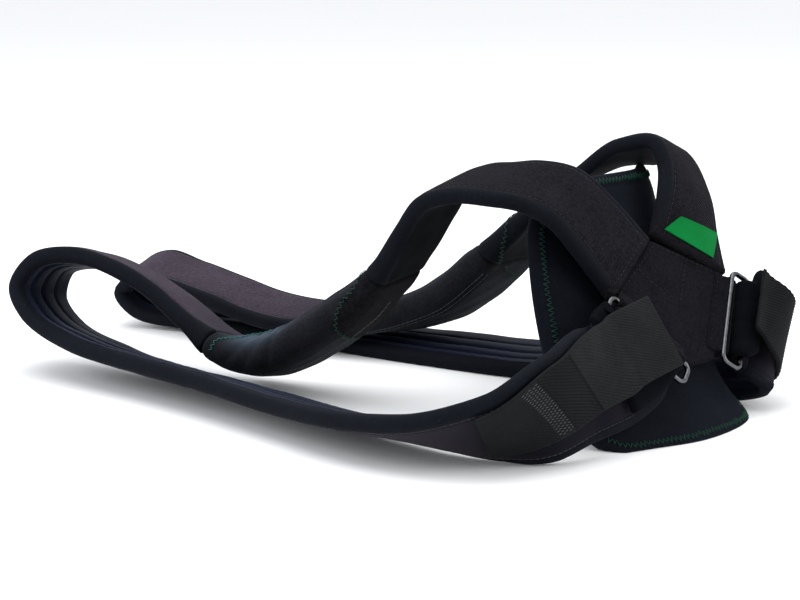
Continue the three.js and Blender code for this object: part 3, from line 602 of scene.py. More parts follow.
def k_inner(t):
    return NF + NE + (1 - np.asarray(t)) / 2 * (NF - 1)


def k_left(phi):
    """Place on the left edge: -90 at the inner face, 90 at the outer face."""
    return 2 * NF + NE - 1 + (np.asarray(phi) + 90) / 180 * (NE + 1)


def zones(P, a, border, middle, edge, back):
    A = np.abs(a).max(1)[len(a) // 2]
    row = a[len(a) // 2]
    z = np.full(K, edge)
    for k in range(K):
        if k < NF - 1:
            z[k] = middle if abs((row[k] + row[k + 1]) / 2) < A - border else edge
        elif NF + NE <= k < 2 * NF + NE - 1:
            z[k] = back
    return z


# mitred seam at the top of the left front pad: mm along it | place round the section
MITRE = ((0, 5.2, 19, 25, 29.7, 32.8, 36, 40, 44), (116, 110.5, 109, 107.5, 106, 104, 98, 80, 57))
green, teal, grey, dim, pale = Thread(), Thread(), Thread(), Thread(), Thread()
made = {}
SURF = {}


def build_side(side, rows, sign):
    ring = ring_frame(sign)
    edge = ring["bar"] if side == "left" else -ring["bar"]

    def ring_row(away, slide, w, h):
        c = ring["outer"] + ring["away"] * away - ring["outward"] * FOLD_RADIUS - ring["bar"] * slide
        return (*c, math.atan2(edge[1], edge[0]) / RAD, math.asin(edge[2]) / RAD, w, h)
    path = Path([*rows, ring_row(9, RING_SKEW, 46, 5.2), ring_row(0, RING_SLIDE, 43, 4.8)])
    uphill = -1 if side == "left" else 1
    tab = LEFT_TAB if side == "left" else RIGHT_TAB
    fold = LEFT_FOLD if side == "left" else RIGHT_FOLD
    cut1, cut2 = (path.s_of(u) for u in CUTS[side])
    seed = 3 if side == "left" else 4

    # shoulder strap: loop-faced, rolled navy edges, navy inside
    f = rolled(path.at(path.u_of(stations(0, cut1 - 0.25, 1.7))), start=False)
    lead = unit(f["c"][1:2] - f["c"][:1]) * np.array([[-1.0]])
    f = {k: np.concatenate([v[:1] + (lead if k == "c" else 0), v]) for k, v in f.items()}
    f["s"][0] -= 1.0

    def sh_out(a, A, f):
        edge_line = bell(np.abs(a), A - 5.2, 0.7)
        return 0.7 * (1 - (a / A) ** 2) - 0.5 * edge_line + 0.22 * ripple(f["s"][:, None], a, seed, 30)

    def sh_in(a, A, f):
        return 0.5 * (1 - (a / A) ** 2) + 0.25 * ripple(f["s"][:, None], a, seed + 10, 22)
    P, a = section(f, sh_out, sh_in)
    # zone 2, the inner face, takes the darker navy copy: painted shade
    zone = np.repeat(zones(P, a, 5.2, 0, 1, 2)[None], len(f["s"]), 0)
    zone[(f["s"] - f["s"][0])[:, None] + 0.22 * np.abs(a) < 9.5] = 0      # painted light: near the end the lighter loop-fabric colour replaces the navy edges, lifting the shade on the end face
    # cap=0: the caps take the lighter loop-fabric colour as well, as painted light on the end face
    made[f"shoulder_strap_{side}"] = skin(f"shoulder_{side}", P, f["s"], around_of(P), zone, [LOOP, NAVY, SHADED_NAVY], cap=0)
    SURF[f"shoulder_{side}"] = (Surface(P, True, flip=True), f)

    # front pad: thick, crowned
    f = rolled(path.at(path.u_of(stations(cut1 + 0.25, cut2 - 0.25, 1.5))))
    span = f["s"][-1] - f["s"][0]

    def fp_out(a, A, f):
        along = (f["s"][:, None] - f["s"][0])
        left = span - along
        crown = 2.0 * (1 - (a / A) ** 2) * ease(along, 0, 14) * ease(left, 0, 16)
        crease = bell(left, 22 + 0.25 * a, 2.2) * ease(a, -14, 4) * 0.9 + bell(left, 31 + 0.45 * a, 2.0) * ease(a, -10, 8) * 0.7
        return crown - crease * (side == "left") + 0.3 * ripple(f["s"][:, None], a, seed + 20, 24)

    def fp_in(a, A, f):
        along = (f["s"][:, None] - f["s"][0])
        return 1.2 * (1 - (a / A) ** 2) * ease(along, 0, 14) * ease(span - along, 0, 14) + 0.3 * ripple(f["s"][:, None], a, seed + 30, 20)
    P, a = section(f, fp_out, fp_in, soft=2.1)
    gone = (f["s"] - f["s"][0])[:, None]
    turn = np.arange(K)[None] + K * (np.arange(K)[None] < NF + NE)      # counted from the inner face round the left edge to the outer face
    tone = np.zeros(P.shape[:2])
    zone = np.zeros(P.shape[:2], int)
    if side == "left":
        zone = ((turn < np.interp(gone, *MITRE)) & (gone < MITRE[0][-1])).astype(int)
        # painted highlight: two light bluish patches of sheen along the lip, around 66 and 84 mm along the pad
        tone = 0.75 * bell(gone, 84, 14) * bell(turn, 113.5, 3.2) + 0.4 * bell(gone, 66, 10) * bell(turn, 113.5, 2.4)
        lip = ease(turn, 101, 106) * (1 - ease(turn, 114, 122))
        mid = f["c"][:, None] - P
        for at, lean, deep in ((62, 1.7, 1.5), (72, 2.1, 1.2), (81, 2.2, 1.1)):
            P = P + unit(mid) * (deep * lip * bell(gone, at + (113 - turn) * lean, 1.7))[..., None]
        P[..., 2] = np.maximum(P[..., 2], 0.0)
    made[f"front_pad_{side}"] = skin(f"front_pad_{side}_piece", P, f["s"], around_of(P), zone, [PADCLOTH, LOOP], tone)
    SURF[f"front_{side}"] = (Surface(P, True, flip=True), f)

    # loop strap: velour outside, quilted inside, folded round the ring's outer bar
    f = path.at(path.u_of(stations(cut2 + 0.25, path.length[-1], 1.7)))
    deg = np.arange(-82, 83, 8.2) * RAD
    nose = ring["outer"] - ring["away"] * (FOLD_RADIUS * np.cos(deg))[:, None] + ring["outward"] * (FOLD_RADIUS * np.sin(deg))[:, None] - ring["bar"] * RING_SLIDE
    last = path.at(np.array([path.end]))
    nose_out = unit(ring["away"] * np.cos(deg)[:, None] - ring["outward"] * np.sin(deg)[:, None])
    m = len(deg)
    back_u = path.u_of(np.linspace(path.length[-1], path.s_of(path.end - fold[-1][0]), 40))
    back = path.end - back_u
    g = path.at(back_u)
    lift, slide = reading(fold, 1, back), reading(fold, 2, back)
    c = np.vstack([f["c"], nose, g["c"] + g["o"] * lift[:, None] + g["d"] * (uphill * slide)[:, None]])
    s = np.concatenate([[0], np.cumsum(np.linalg.norm(np.diff(c, axis=0), axis=1))]) + f["s"][0]
    fold_at = s[len(f["s"])]
    f = {"c": c, "d": np.vstack([f["d"], np.repeat(last["d"], m, 0), g["d"]]), "o": np.vstack([f["o"], nose_out, -g["o"]]),
         "w": np.concatenate([f["w"], np.full(m, 43.0), reading(fold, 3, back)]),
         "h": np.concatenate([f["h"], np.full(m, 4.6), reading(fold, 4, back)]), "s": s, "u": np.concatenate([f["u"], np.full(m, path.end), back_u])}
    f = rolled(f)
    full = (1 - ease(s, fold_at - 30, fold_at - 8) * 0.8)[:, None]

    def lp_out(a, A, f):
        return full * (0.5 * (1 - (a / A) ** 2) - 0.55 * bell(np.abs(a), A - 4.8, 0.6)) + 0.22 * full * ripple(f["s"][:, None], a, seed + 40, 28)

    def lp_in(a, A, f):
        seams = np.array((-22.0, -14.0, -3.5, 9.0, 22.0))
        crown = np.array((0.35, 0.75, 1.0, 0.45))
        groove = sum(bell(a, at, 1.25) for at in seams[1:4])
        gap = np.clip(np.searchsorted(seams, a) - 1, 0, 3)
        u = np.clip((a - seams[gap]) / (seams[gap + 1] - seams[gap]), 0, 1)
        puff = crown[gap] * np.sin(math.pi * u) ** 0.8 * (1 + 0.3 * ripple(f["s"][:, None], a, seed + 70, 60))
        pinch = 0.25 * np.sin(f["s"][:, None] * 2 * math.pi / 6.5 + a * 0.5) * bell(np.abs(np.mod(a + 5.5 + 11, 11) - 5.5), 5.5, 2.0)
        return full * (0.35 + 0.75 * puff - 0.85 * groove + pinch * 0.45) * np.minimum(1, (1 - (a / A) ** 2) * 6) + 0.25 * full * ripple(f["s"][:, None], a, seed + 50, 34)
    P, a = section(f, lp_out, lp_in, soft=2.4)
    tone = np.repeat((ease(s, fold_at - 210, fold_at - 150) + 0.55 * (1 - ease(s - s[0], 2, 46)))[:, None], K, 1)
    tone = np.clip(tone + 0.22 * ripple(f["s"][:, None], a, seed + 70, 60) * (tone < 0.9), 0, 1)
    faces = np.tile(zones(P, a, 4.6, 0, 1, 2), (len(s), 1))
    faces[(faces == 2) & (s > fold_at - 22)[:, None]] = 3       # painted shade: the darker navy copy replaces the quilt where the end folds through the ring
    # painted shade: the rolled edges at the fold and the end caps take the darker navy copy too
    faces[(faces == 1) & (s > fold_at - 4)[:, None]] = 3
    made[f"loop_strap_{side}"] = skin(f"loop_{side}", P, f["s"], around_of(P), faces, [VELOUR, NAVY, QUILT, SHADED_NAVY], tone, cap=3)
    SURF[f"loop_{side}"] = (Surface(P, True, flip=True), f)

    # webbing tab: diagonal ribs, a doubled part next to the ring
    held = TAB_STRAIGHT[side]
    s1, s0, first = path.s_of(path.end - held), path.s_of(path.end - tab[-1][0]), TAB_PITCH * (held - tab[0][0])
    sb = stations(0, first + s1 - s0, 0.45)
    u = path.u_of(s1 - np.maximum(sb - first, 0))
    g = path.at(u)
    back = np.where(sb < first, tab[0][0] + sb / TAB_PITCH, path.end - u)
    c = g["c"] + g["o"] * reading(tab, 1, back)[:, None] + g["d"] * (uphill * reading(tab, 2, back))[:, None] + g["t"] * np.maximum(first - sb, 0)[:, None]
    if side == "right":                                         # webbing is too stiff to follow the sharp turn at the ring
        span = np.abs(sb[:, None] - sb[None])
        even = np.exp(-0.5 * (span / 5.0) ** 2)
        even /= even.sum(1, keepdims=True)
        lead = c - (c[0] + (c[-1] - c[0]) * (sb / sb[-1])[:, None])
        moved = even @ lead - lead
        sunk = np.maximum(-(moved * g["o"]).sum(1), 0)
        g["d"], g["o"] = unit(even @ g["d"]), unit(even @ g["o"])
        c = c + moved + g["o"] * (even @ sunk * 1.0 + 0.6)[:, None]
    top, low, rim = 92, 16, 5
    along = np.concatenate([[0], np.cumsum(np.linalg.norm(np.diff(c, axis=0), axis=1))])
    e = np.minimum(along, along[-1] - along)
    r = np.sqrt(1 - (1 - np.clip(e / 1.3, 0, 1)) ** 2)[:, None]
    half, thick = TAB_HALF, 1.0
    at = np.linspace(-1, 1, top)[None] * (half - 0.9)
    lean = 1 if side == "left" else -1
    ribs = np.sin(2 * math.pi * (along[:, None] * 0.461 + at * 0.887 * lean) / 1.36)
    skew = along[:, None] + 0.49 * (at * lean + half)           # the seams across the tab run slanted
    quiet, doubled = ease(skew, 104, 106), 1 - ease(skew, 75.6, 76.6)
    middle = ease(skew, 75.6, 76.6) * (1 - ease(skew, 95.4, 96.4))
    up = thick + 0.45 * doubled + 0.2 * middle + 0.2 * ribs * (1 - 0.6 * quiet) + 0.12 * ripple(along[:, None], at, seed + 60, 30)
    ph = np.linspace(90, -90, rim + 2)[1:-1] * RAD
    a = np.hstack([np.repeat(at, len(along), 0), np.repeat((half - 0.9 + 0.9 * np.cos(ph))[None], len(along), 0),
                   np.repeat(np.linspace(1, -1, low)[None] * (half - 0.9), len(along), 0), np.repeat(-(half - 0.9 + 0.9 * np.cos(ph))[None, ::-1], len(along), 0)])
    b = np.hstack([up * r, thick * np.sin(ph)[None] * r, -thick * np.ones((len(along), low)) * r, thick * np.sin(ph)[None, ::-1] * r])
    P = c[:, None] + g["d"][:, None] * a[..., None] + g["o"][:, None] * b[..., None]
    P[..., 2] = np.maximum(P[..., 2], 0.0)
    tone = np.zeros(P.shape[:2])
    # tone: painted shade in the rib troughs and over the part past the stitching (quiet); the middle band, the two seam
    # lines and the underside are set darker too
    tone[:, :top] = np.clip(0.55 * np.clip(-ribs, 0, 1) * (1 - 0.5 * quiet) + 0.42 * middle + 0.5 * quiet + 0.6 * bell(skew, 76.4, 0.5) + 0.5 * bell(skew, 96.2, 0.5), 0, 1)
    tone[:, top:] = 0.5
    if side == "right":
        tone = np.clip(tone + 0.4, 0, 1)                        # painted shade: the far tab is darkened as it faces away from the light
    made[f"closure_tab_{side}"] = skin(f"tab_{side}", P, along, around_of(P), np.zeros(P.shape[1], int), [WEBBING], tone)
    SURF[f"tab_{side}"] = (Surface(P, True), {"s": along, "top": top})
    return path


PATHS = {"left": build_side("left", LEFT_ROWS, -1), "right": build_side("right", RIGHT_ROWS, 1)}


# ------------------------------------------------------------------ rings
def build_ring(side, sign):
    ring = ring_frame(sign)
    mid = ring["inner"] + ring["away"] * RING_SHORT / 2
    hx, hy, r = RING_LONG / 2, RING_SHORT / 2, RING_CORNER
    line = []
    for sx, sy, start in ((1, 1, 0), (-1, 1, 90), (-1, -1, 180), (1, -1, 270)):
        for deg in np.linspace(0, 90, 13):
            t = (start + deg) * RAD
            line.append((sx * (hx - r) + r * math.cos(t), sy * (hy - r) + r * math.sin(t)))
    line = np.asarray(line)
    line = np.vstack([line, line[:1]])
    _, row = polyline(np.hstack([line, np.zeros((len(line), 1))]), 0.8)
    fine = np.stack([np.interp(row, np.arange(len(line)), line[:, j]) for j in (0, 1)], 1)[:-1]
    pts = mid + ring["bar"] * fine[:, :1] + ring["away"] * fine[:, 1:]
    ahead = unit(np.roll(pts, -1, 0) - np.roll(pts, 1, 0))
    sidew = unit(np.cross(ahead, ring["outward"]))
    t = np.arange(16) / 16 * 2 * math.pi
    R = WIRE / 2 - 0.1
    P = pts[:, None] + sidew[:, None] * (R * np.cos(t))[None, :, None] + ring["outward"] * (R * np.sin(t))[None, :, None]
    P = np.concatenate([P, P[:1]])
    s = np.arange(len(P)) * 0.8
    made[f"ring_{side}"] = skin(f"ring_{side}_wire", P, s, np.linspace(0, 8.8, 17), np.zeros(16, int), [STEEL], caps=False)


build_ring("left", -1)
build_ring("right", 1)


# ------------------------------------------------------------------ yoke
def build_yoke():
    corners = np.asarray(YOKE, float)
    ring2 = []
    for i in range(5):
        a, b, c = corners[i - 1], corners[i], corners[(i + 1) % 5]
        p, q = b + unit(a - b) * 2.5, b + unit(c - b) * 2.5
        for t in np.linspace(0, 1, 5):
            ring2.append((1 - t) ** 2 * p + 2 * t * (1 - t) * b + t * t * q)
    ring2 = np.asarray(ring2)
    ring2 = np.vstack([ring2, ring2[:1]])
    _, row = polyline(np.hstack([ring2, np.zeros((len(ring2), 1))]), 1.5)
    edge = np.stack([np.interp(row, np.arange(len(ring2)), ring2[:, j]) for j in (0, 1)], 1)[:-1]
    mid = np.array([0.0, 66.0])
    size = 34.0
    rows = []
    for inset, n in [(34, YOKE_FLOOR), (12, YOKE_FLOOR), (2, YOKE_FLOOR), (0.6, YOKE_FLOOR + 0.5), (0, -7.2), (0, -5.6), (0.25, -4.4), (0.8, -3.7), (1.6, -3.3), (2.6, -3.1),
                     *[(x, None) for x in np.linspace(3.8, 33.6, 26)]]:
        xy = mid + (edge - mid) * (1 - inset / size)
        if n is None:
            n = -3.05 + 0.75 * ease(inset, 3, 26) + 0.2 * ripple(xy[:, 0], xy[:, 1], 77, 24) * ease(inset, 3, 8)
        rows.append(on_back(xy[:, 0], xy[:, 1], n))
    P = np.asarray(rows)
    n, k = P.shape[:2]
    obj = skin("yoke_plate", P, np.arange(n) * 1.2, np.arange(k + 1) * 1.5, np.zeros(k, int), [KNIT])
    me = obj.data
    uv = me.uv_layers["UVMap"].data
    co = np.zeros(len(me.vertices) * 3)
    me.vertices.foreach_get("co", co)
    co = co.reshape(-1, 3) / MM - SHIFT
    idx = np.zeros(len(me.loops), np.int32)
    me.loops.foreach_get("vertex_index", idx)
    flat = np.stack([co[:, 0], co[:, 1] * LEAN_SIN + co[:, 2] * LEAN_COS], 1)
    uv.foreach_set("uv", flat[idx].astype(np.float32).ravel())
    SURF["yoke"] = (Surface(P[10:], True, flip=True), None)
    # channel under each ring's inner bar
    parts = [obj]
    for side, sign in (("left", -1), ("right", 1)):
        ring = ring_frame(sign)
        if side == "left":
            shape = [(-10, -2.7), (-6, -1.4), (-3.4, 0.9)]
            shape += [(2.75 * math.cos(t * RAD), 2.75 * math.sin(t * RAD)) for t in (130, 110, 90, 70, 50, 30, 10, -10, -30, -50)]
        else:
            shape = [(-9, -2.6), (-5, -1.9), (-2.6, -0.6), (-1.8, 0.3), (-1.45, 0.1)]
            shape += [(1.62 * math.cos(t * RAD), 1.62 * math.sin(t * RAD)) for t in (200, 225, 250, 275, 300, 325, 350)]
            shape += [(2.0, 0.6), (2.6, 0.4), (2.9, -0.8), (2.7, -2.4)]
        shape += [(2.0, -4.2), (0.4, -6.2), (-4, -7.6), (-9, -8.4)]
        shape = np.asarray(shape)
        along = np.concatenate([[-22, -21.8, -21.3], np.linspace(-20.5, 20.5, 42), [21.3, 21.8, 22]])
        e = np.minimum(along + 22, 22 - along)
        sc = 0.75 + 0.25 * np.sqrt(1 - (1 - np.clip(e / 1.5, 0, 1)) ** 2)
        centre = shape.mean(0)
        P = np.asarray([ring["inner"] + ring["bar"] * t + ring["away"] * ((shape[:, :1] - centre[0]) * s + centre[0]) + ring["outward"] * ((shape[:, 1:] - centre[1]) * s + centre[1]
                        + 0.08 * np.sin(t * 1.3 + shape[:, :1])) for t, s in zip(along, sc)])
        parts.append(skin(f"hem_{side}", P, along, np.arange(len(shape) + 1) * 1.0, np.zeros(len(shape), int), [KNIT]))
    bpy.ops.object.select_all(action="DESELECT")
    for p in parts:
        p.select_set(True)
    bpy.context.view_layer.objects.active = obj
    bpy.ops.object.join()
    obj.name = "yoke_piece"
    made["centre_yoke"] = obj


build_yoke()


# ------------------------------------------------------------------ back pad
def pad_point(reach, up, out):
    e = 0.5
    bend, flat = reading(PAD_UP, 4, up), reading(PAD_ACROSS, 1, reach)
    x, fwd = flat + (reach - flat) * (1 - bend) * PAD_SPREAD, reading(PAD_ACROSS, 2, reach) * bend
    kick = reading(PAD_ACROSS, 3, reach) * np.maximum(0, 1 - up / 36) ** 2
    tx = reading(PAD_ACROSS, 1, reach + e) - reading(PAD_ACROSS, 1, reach - e)
    tf = reading(PAD_ACROSS, 2, reach + e) - reading(PAD_ACROSS, 2, reach - e)
    l = np.hypot(tx, tf)
    p = on_back(x + out * tf / l, up, -reading(PAD_UP, 1, up) + out * tx / l)
    p[..., 1] += fwd - kick
    return p


def build_pad():
    ups = np.concatenate([[0, 0.2, 0.6, 1.3, 2.4, 3.8], np.linspace(5.6, PAD_TOP - 5.6, 76), PAD_TOP - np.array([3.8, 2.4, 1.3, 0.6, 0.2, 0])])
    tt = np.concatenate([[-1, -0.997, -0.99, -0.977, -0.957, -0.93], np.linspace(-0.9, 0.9, 84), [0.93, 0.957, 0.977, 0.99, 0.997, 1]])
    U, W = np.meshgrid(ups, tt, indexing="ij")
    left, right = -reading(PAD_UP, 2, ups)[:, None], reading(PAD_UP, 3, ups)[:, None]
    reach = (left + right) / 2 + W * (right - left) / 2
    side = np.minimum(reach - left, right - reach) * 0.92
    d = np.minimum(np.minimum(U, PAD_TOP - U), side)
    near = np.clip(d / 5.5, 0, 1)
    half = 0.7 + 3.8 * np.sqrt(np.maximum(0, 1 - (1 - near) ** 2.2))
    groove = 0.5 * bell(d, 7.6, 1.0)
    swell = 0.35 * ripple(reach, U, 91, 38) * ease(d, 4, 16) - groove
    front, back = pad_point(reach, U, half + swell), pad_point(reach, U, -half)
    for q in (front, back):
        q[..., 2] = np.maximum(q[..., 2], 0.0)
    n, m = U.shape
    verts = np.vstack([front.reshape(-1, 3), back.reshape(-1, 3)])
    faces, uvs = [], []
    flat = np.stack([reach, U], -1).reshape(-1, 2)
    for i in range(n - 1):
        for j in range(m - 1):
            q = [i * m + j, i * m + j + 1, (i + 1) * m + j + 1, (i + 1) * m + j]
            faces.append(q)
            faces.append([n * m + x for x in q[::-1]])
    rim = [(0, j) for j in range(m)] + [(i, m - 1) for i in range(1, n)] + [(n - 1, j) for j in range(m - 2, -1, -1)] + [(i, 0) for i in range(n - 2, 0, -1)]
    for a, b in zip(rim, rim[1:] + rim[:1]):
        p, q = a[0] * m + a[1], b[0] * m + b[1]
        faces.append([p, n * m + p, n * m + q, q])
    if volume(verts, faces) < 0:
        faces = [f[::-1] for f in faces]
    for f in faces:
        uvs.extend(flat[[x % (n * m) for x in f]].tolist())
    made["back_pad"] = raw_mesh("back_pad_piece", verts, faces, [BACKCLOTH], None, uvs)
    surf = Surface(front, False, flip=False)
    mid_n = surf.N[n // 2, m // 3]
    if mid_n @ unit(on_back(0, 0, 1)) < 0:
        surf.N *= -1
    # overlock zigzag a little inside the edge
    inset = 5.4
    line = []
    iu = lambda up: np.interp(up, ups, np.arange(n))

    def jt(up, from_left, by):
        lo, hi = -reading(PAD_UP, 2, up), reading(PAD_UP, 3, up)
        want = lo + by if from_left else hi - by
        return np.interp((want - (lo + hi) / 2) / ((hi - lo) / 2), tt, np.arange(m))
    for up in np.linspace(PAD_TOP - 6, 10, 40):
        line.append((iu(up), jt(up, True, inset)))
    for up, by in ((7, 6.5), (5.2, 9.5), (4.6, 14)):
        line.append((iu(up), jt(up, True, by)))
    for j in np.linspace(jt(4.6, True, 18), jt(4.6, False, 18), 40):
        line.append((iu(4.6), j))
    for up, by in ((4.6, 14), (5.2, 9.5), (7, 6.5)):
        line.append((iu(up), jt(up, False, by)))
    for up in np.linspace(10, PAD_TOP - 6, 40):
        line.append((iu(up), jt(up, False, inset)))
    line.append((iu((PAD_TOP - 4.6)), jt((PAD_TOP - 4.6), False, 9)))
    for j in np.linspace(jt((PAD_TOP - 4.6), False, 14), jt((PAD_TOP - 4.6), True, 14), 24):
        line.append((iu((PAD_TOP - 4.6)), j))
    zigzag(green, surf, line, 2.5, 1.6, 0.21, 0.25, 5)
    back_surf = Surface(back, False)
    if back_surf.N[n // 2, m // 3] @ unit(on_back(0, 0, 1)) > 0:
        back_surf.N *= -1
    zigzag(green, back_surf, line, 2.5, 1.6, 0.21, 0.25, 6)


build_pad()


# ------------------------------------------------------------------ label
def build_label():
    path = PATHS["right"]
    t = np.linspace(0, 1, 34)
    rows = np.asarray(LABEL_ROWS, float)
    col = lambda j: np.interp(t, np.linspace(0, 1, len(rows)), rows[:, j])

    def spot(place, aside):
        g = path.at(place)
        return g["c"] + g["d"] * aside[:, None] + g["o"] * (g["h"] / 2 + col(4) - 0.25)[:, None]
    left, right = spot(col(0), col(1)), spot(col(2), col(3))
    out = path.at((col(0) + col(2)) / 2)["o"]
    at = np.linspace(0, 1, 44)
    base = left[:, None] * (1 - at)[None, :, None] + right[:, None] * at[None, :, None]
    bow = 0.5 * np.sin(at * math.pi)[None] * (0.3 + 0.7 * t[:, None]) + 0.12 * ripple(t[:, None] * 14, at[None] * 30, 31, 9)
    th = 0.28 + 0.24 * np.sin(np.clip((t - 0.9) / 0.1, 0, 1) * math.pi / 2)
    outer = base + out[:, None] * (bow + th[:, None])[..., None]
    inner = base + out[:, None] * (bow - th[:, None])[..., None]
    P = np.concatenate([outer, inner[:, ::-1]], 1)
    s = np.linspace(0, 15, len(t))
    w = at * 31
    made["label_tab"] = skin("label_piece", P, s, np.concatenate([w, w[::-1], w[:1]]), np.zeros(88, int), [LABEL])


build_label()

# ------------------------------------------------------------------ stitching on the straps
for side in ("left", "right"):
    surf, f = SURF[f"front_{side}"]
    n = len(f["s"])
    i_of = lambda mm: np.interp(mm, f["s"] - f["s"][0], np.arange(n))
    total = f["s"][-1] - f["s"][0]
    if side == "left":
        zigzag(green, surf, [(i_of(x), np.interp(x, *MITRE)) for x in np.linspace(0.8, 43, 60)], 3.0, 1.1, 0.24, 0.3, 11)
        zigzag(teal, surf, [(i_of(x), k) for x, k in ((105.5, 107), (104, 110), (97, 112), (88, 113.6), (80, 115), (72, 118))], 2.4, 0.9, 0.22, 0.3, 12)
        for off in (0.0, 2.4):
            dashes(pale, surf, [(i_of(x), np.interp(x, (14, 36, 76, 96), (74, 77, 81, 84)) + off) for x in np.linspace(14, 96, 40)], 2.6, 0.9, 0.17, 0.1)
    else:
        upper, g = SURF["shoulder_right"]
        j_of = lambda mm: np.interp(mm, g["s"] - g["s"][0], np.arange(len(g["s"])))
        zigzag(green, upper, [(j_of(x), k) for x, k in ((148, 118), (149.2, 113.5), (149.8, 111), (151.2, 109.6), (153.2, 108.2), (157, 107), (166, 104.2), (176, 99))], 3.0, 1.1, 0.24, 0.3, 13)
        zigzag(green, surf, [(i_of(x), k) for x, k in ((1.6, 92), (5.2, 87), (9.7, 73), (12, 61))], 3.0, 1.1, 0.24, 0.3, 11)
        zigzag(teal, surf, [(i_of(total - 3.2), k_outer(t)) for t in np.linspace(-0.98, 1.0, 20)], 2.4, 0.9, 0.22, 0.25, 12)
        for k in (k_left(-60), k_left(-80)):
            dashes(pale, surf, [(i_of(x), k) for x in np.linspace(8, total - 6, 40)], 2.6, 0.9, 0.15, 0.1)
    surf, f = SURF[f"loop_{side}"]
    n = len(f["s"])
    last = np.interp(f["s"][-1] - 70, f["s"], np.arange(n))
    for t in (-0.975, 0.975):
        dashes(grey, surf, [(i, k_outer(t)) for i in np.linspace(3, last, 60)], 2.6, 0.85, 0.12, 0.1)
    surf, f = SURF[f"shoulder_{side}"]
    n = len(f["s"])
    for t in (-0.93, 0.93):
        dashes(dim, surf, [(i, k_outer(t)) for i in np.linspace(2, n - 3, 40)], 2.6, 0.8, 0.16, 0.05)
    dashes(dim, surf, [(np.interp(2.2, f["s"], np.arange(n)), k_outer(t)) for t in np.linspace(-0.95, 0.95, 30)], 3.2, 0.55, 0.12, 0.1)
    surf, f = SURF[f"tab_{side}"]
    n = len(f["s"])
    for r_ in range(5):
        for k in range(20):
            share = 0.03 + 0.94 * (k + 0.5 * (r_ % 2)) / 20
            kk = share * (f["top"] - 1)
            across = (2 * share - 1) * TAB_HALF * (1 if side == "left" else -1)
            i = np.interp(97.4 + 1.75 * r_ - 0.49 * (across + TAB_HALF), f["s"], np.arange(n), right=-1)
            if i < 0:
                continue
            p, nrm = surf.at(np.array([i - 1.2, i - 0.4, i + 0.4, i + 1.2]), np.full(4, kk), 0.14)
            grey.strand(p, 0.23, 6)

# ------------------------------------------------------------------ stitching on the yoke
def yoke_line(points, pitch, share, r, thread):
    pts = np.asarray(points, float)
    _, row = polyline(np.hstack([pts, np.zeros((len(pts), 1))]), 0.4)
    xy = np.stack([np.interp(row, np.arange(len(pts)), pts[:, j]) for j in (0, 1)], 1)
    per = max(2, int(pitch / 0.4))
    keep = max(2, int(per * share))
    for k in range(0, len(xy) - per, per):
        q = xy[k:k + keep]
        thread.strand(on_back(q[:, 0], q[:, 1], -2.35 + 0.1 * np.sin(np.linspace(0, math.pi, len(q)))), r)


for sx in (-1, 1):
    yoke_line([(sx * 1.5, 93.5), (sx * 38.5, 73.2)], 3.2, 0.6, 0.13, dim)
    inw = np.array([-sx * 0.79, 0.61])
    for off in (4.5, 26.0):
        p = np.array([sx * 41.5, 72.5]) + inw * off
        q = np.array([sx * 13.0, 36.0]) + inw * off
        if off > 20:
            p, q = p + (q - p) * 0.12, p + (q - p) * 0.72
        yoke_line([p, q], 3.0, 0.6, 0.13, dim)

stitched = [green.build("stitch_green", GREEN), teal.build("stitch_teal", TEAL), grey.build("stitch_grey", GREY), dim.build("stitch_dim", DIM), pale.build("stitch_pale", PALE)]

# ------------------------------------------------------------------ pieces in the frame
for node, obj in made.items():
    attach(obj, "root")
    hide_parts(node)
for obj, name in zip(stitched, ("navy_laminate", "navy_laminate", "loop_fabric", "loop_fabric", "navy_laminate")):
    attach(obj, "root")

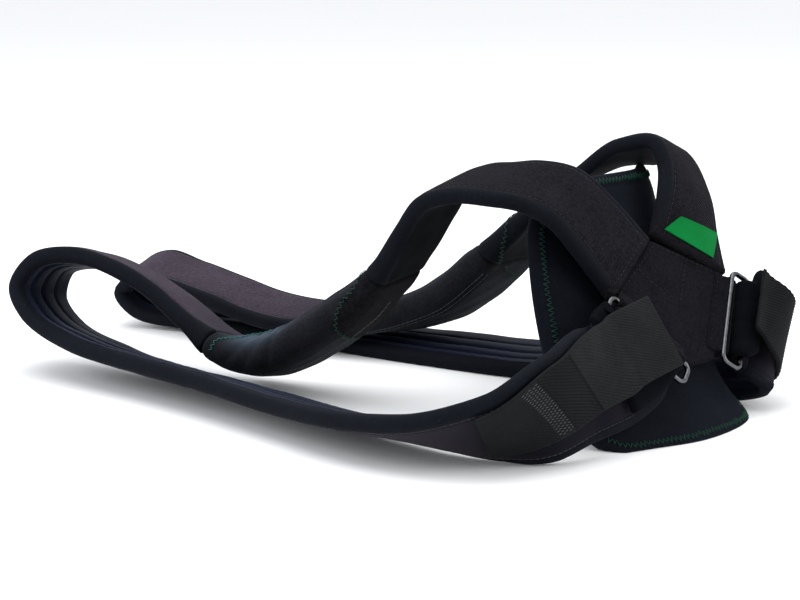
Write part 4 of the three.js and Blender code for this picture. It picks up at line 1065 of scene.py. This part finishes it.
# ------------------------------------------------------------------ floor, light, camera
me = bpy.data.meshes.new("floor")
me.from_pydata([(-25, -25, -0.0003), (25, -25, -0.0003), (25, 25, -0.0003), (-25, 25, -0.0003)], [], [(0, 1, 2, 3)])
floor = link(bpy.data.objects.new("floor", me))
FLOOR, _nt, _b = nodes_of("floor_pale")
_geo = _nt.nodes.new("ShaderNodeTexCoord")
_n = add(_nt, "ShaderNodeTexNoise", Scale=3.0, Detail=2.0)
join(_nt, _geo, "Object", _n, "Vector")
_c = mix_colour(_nt, (_n, "Fac"), (0.93, 0.93, 0.935), (0.95, 0.95, 0.95))
_nt.links.new(_c[0].outputs[_c[1]], _b.inputs["Base Color"])
_b.inputs["Roughness"].default_value = 0.9
_b.inputs["Specular IOR Level"].default_value = 0.1
me.materials.append(FLOOR)

world = bpy.data.worlds.new("studio")
world.use_nodes = True
world.node_tree.nodes["Background"].inputs["Color"].default_value = (0.96, 0.98, 1.0, 1)
world.node_tree.nodes["Background"].inputs["Strength"].default_value = 1.0
scene = bpy.context.scene
scene.world = world


def softbox(name, at, to, size, power, colour):
    d = bpy.data.lights.new(name, "AREA")
    d.shape = "RECTANGLE"
    d.size, d.size_y = size
    d.energy = power
    d.color = colour
    o = link(bpy.data.objects.new(name, d))
    o.location = at
    o.rotation_mode = "QUATERNION"
    o.rotation_quaternion = (Vector(to) - Vector(at)).to_track_quat("-Z", "Y")


softbox("top_box", (0.0, 0.1, 1.25), (0, 0, 0), (1.6, 1.2), 13, (0.97, 0.985, 1.0))
softbox("left_box", (-1.3, 0.5, 0.75), (0, 0, 0.03), (0.9, 0.9), 8, (0.93, 0.97, 1.0))
softbox("front_box", (0.5, -1.3, 0.65), (0.03, -0.1, 0.05), (0.9, 0.7), 6, (1.0, 0.98, 0.97))

cam = bpy.data.cameras.new("camera")
cam.lens, cam.sensor_width, cam.sensor_fit = 99.0, 36.0, "HORIZONTAL"
cam.clip_start, cam.clip_end = 0.05, 60
camera = link(bpy.data.objects.new("camera", cam))
camera.location = (-0.7573, -0.8028, 0.252)
camera.rotation_mode = "QUATERNION"
camera.rotation_quaternion = Vector((0.6883, 0.7004, -0.189)).to_track_quat("-Z", "Y")
scene.camera = camera
scene.view_settings.view_transform = "Standard"
scene.view_settings.look = "None"

bpy.context.view_layer.update()
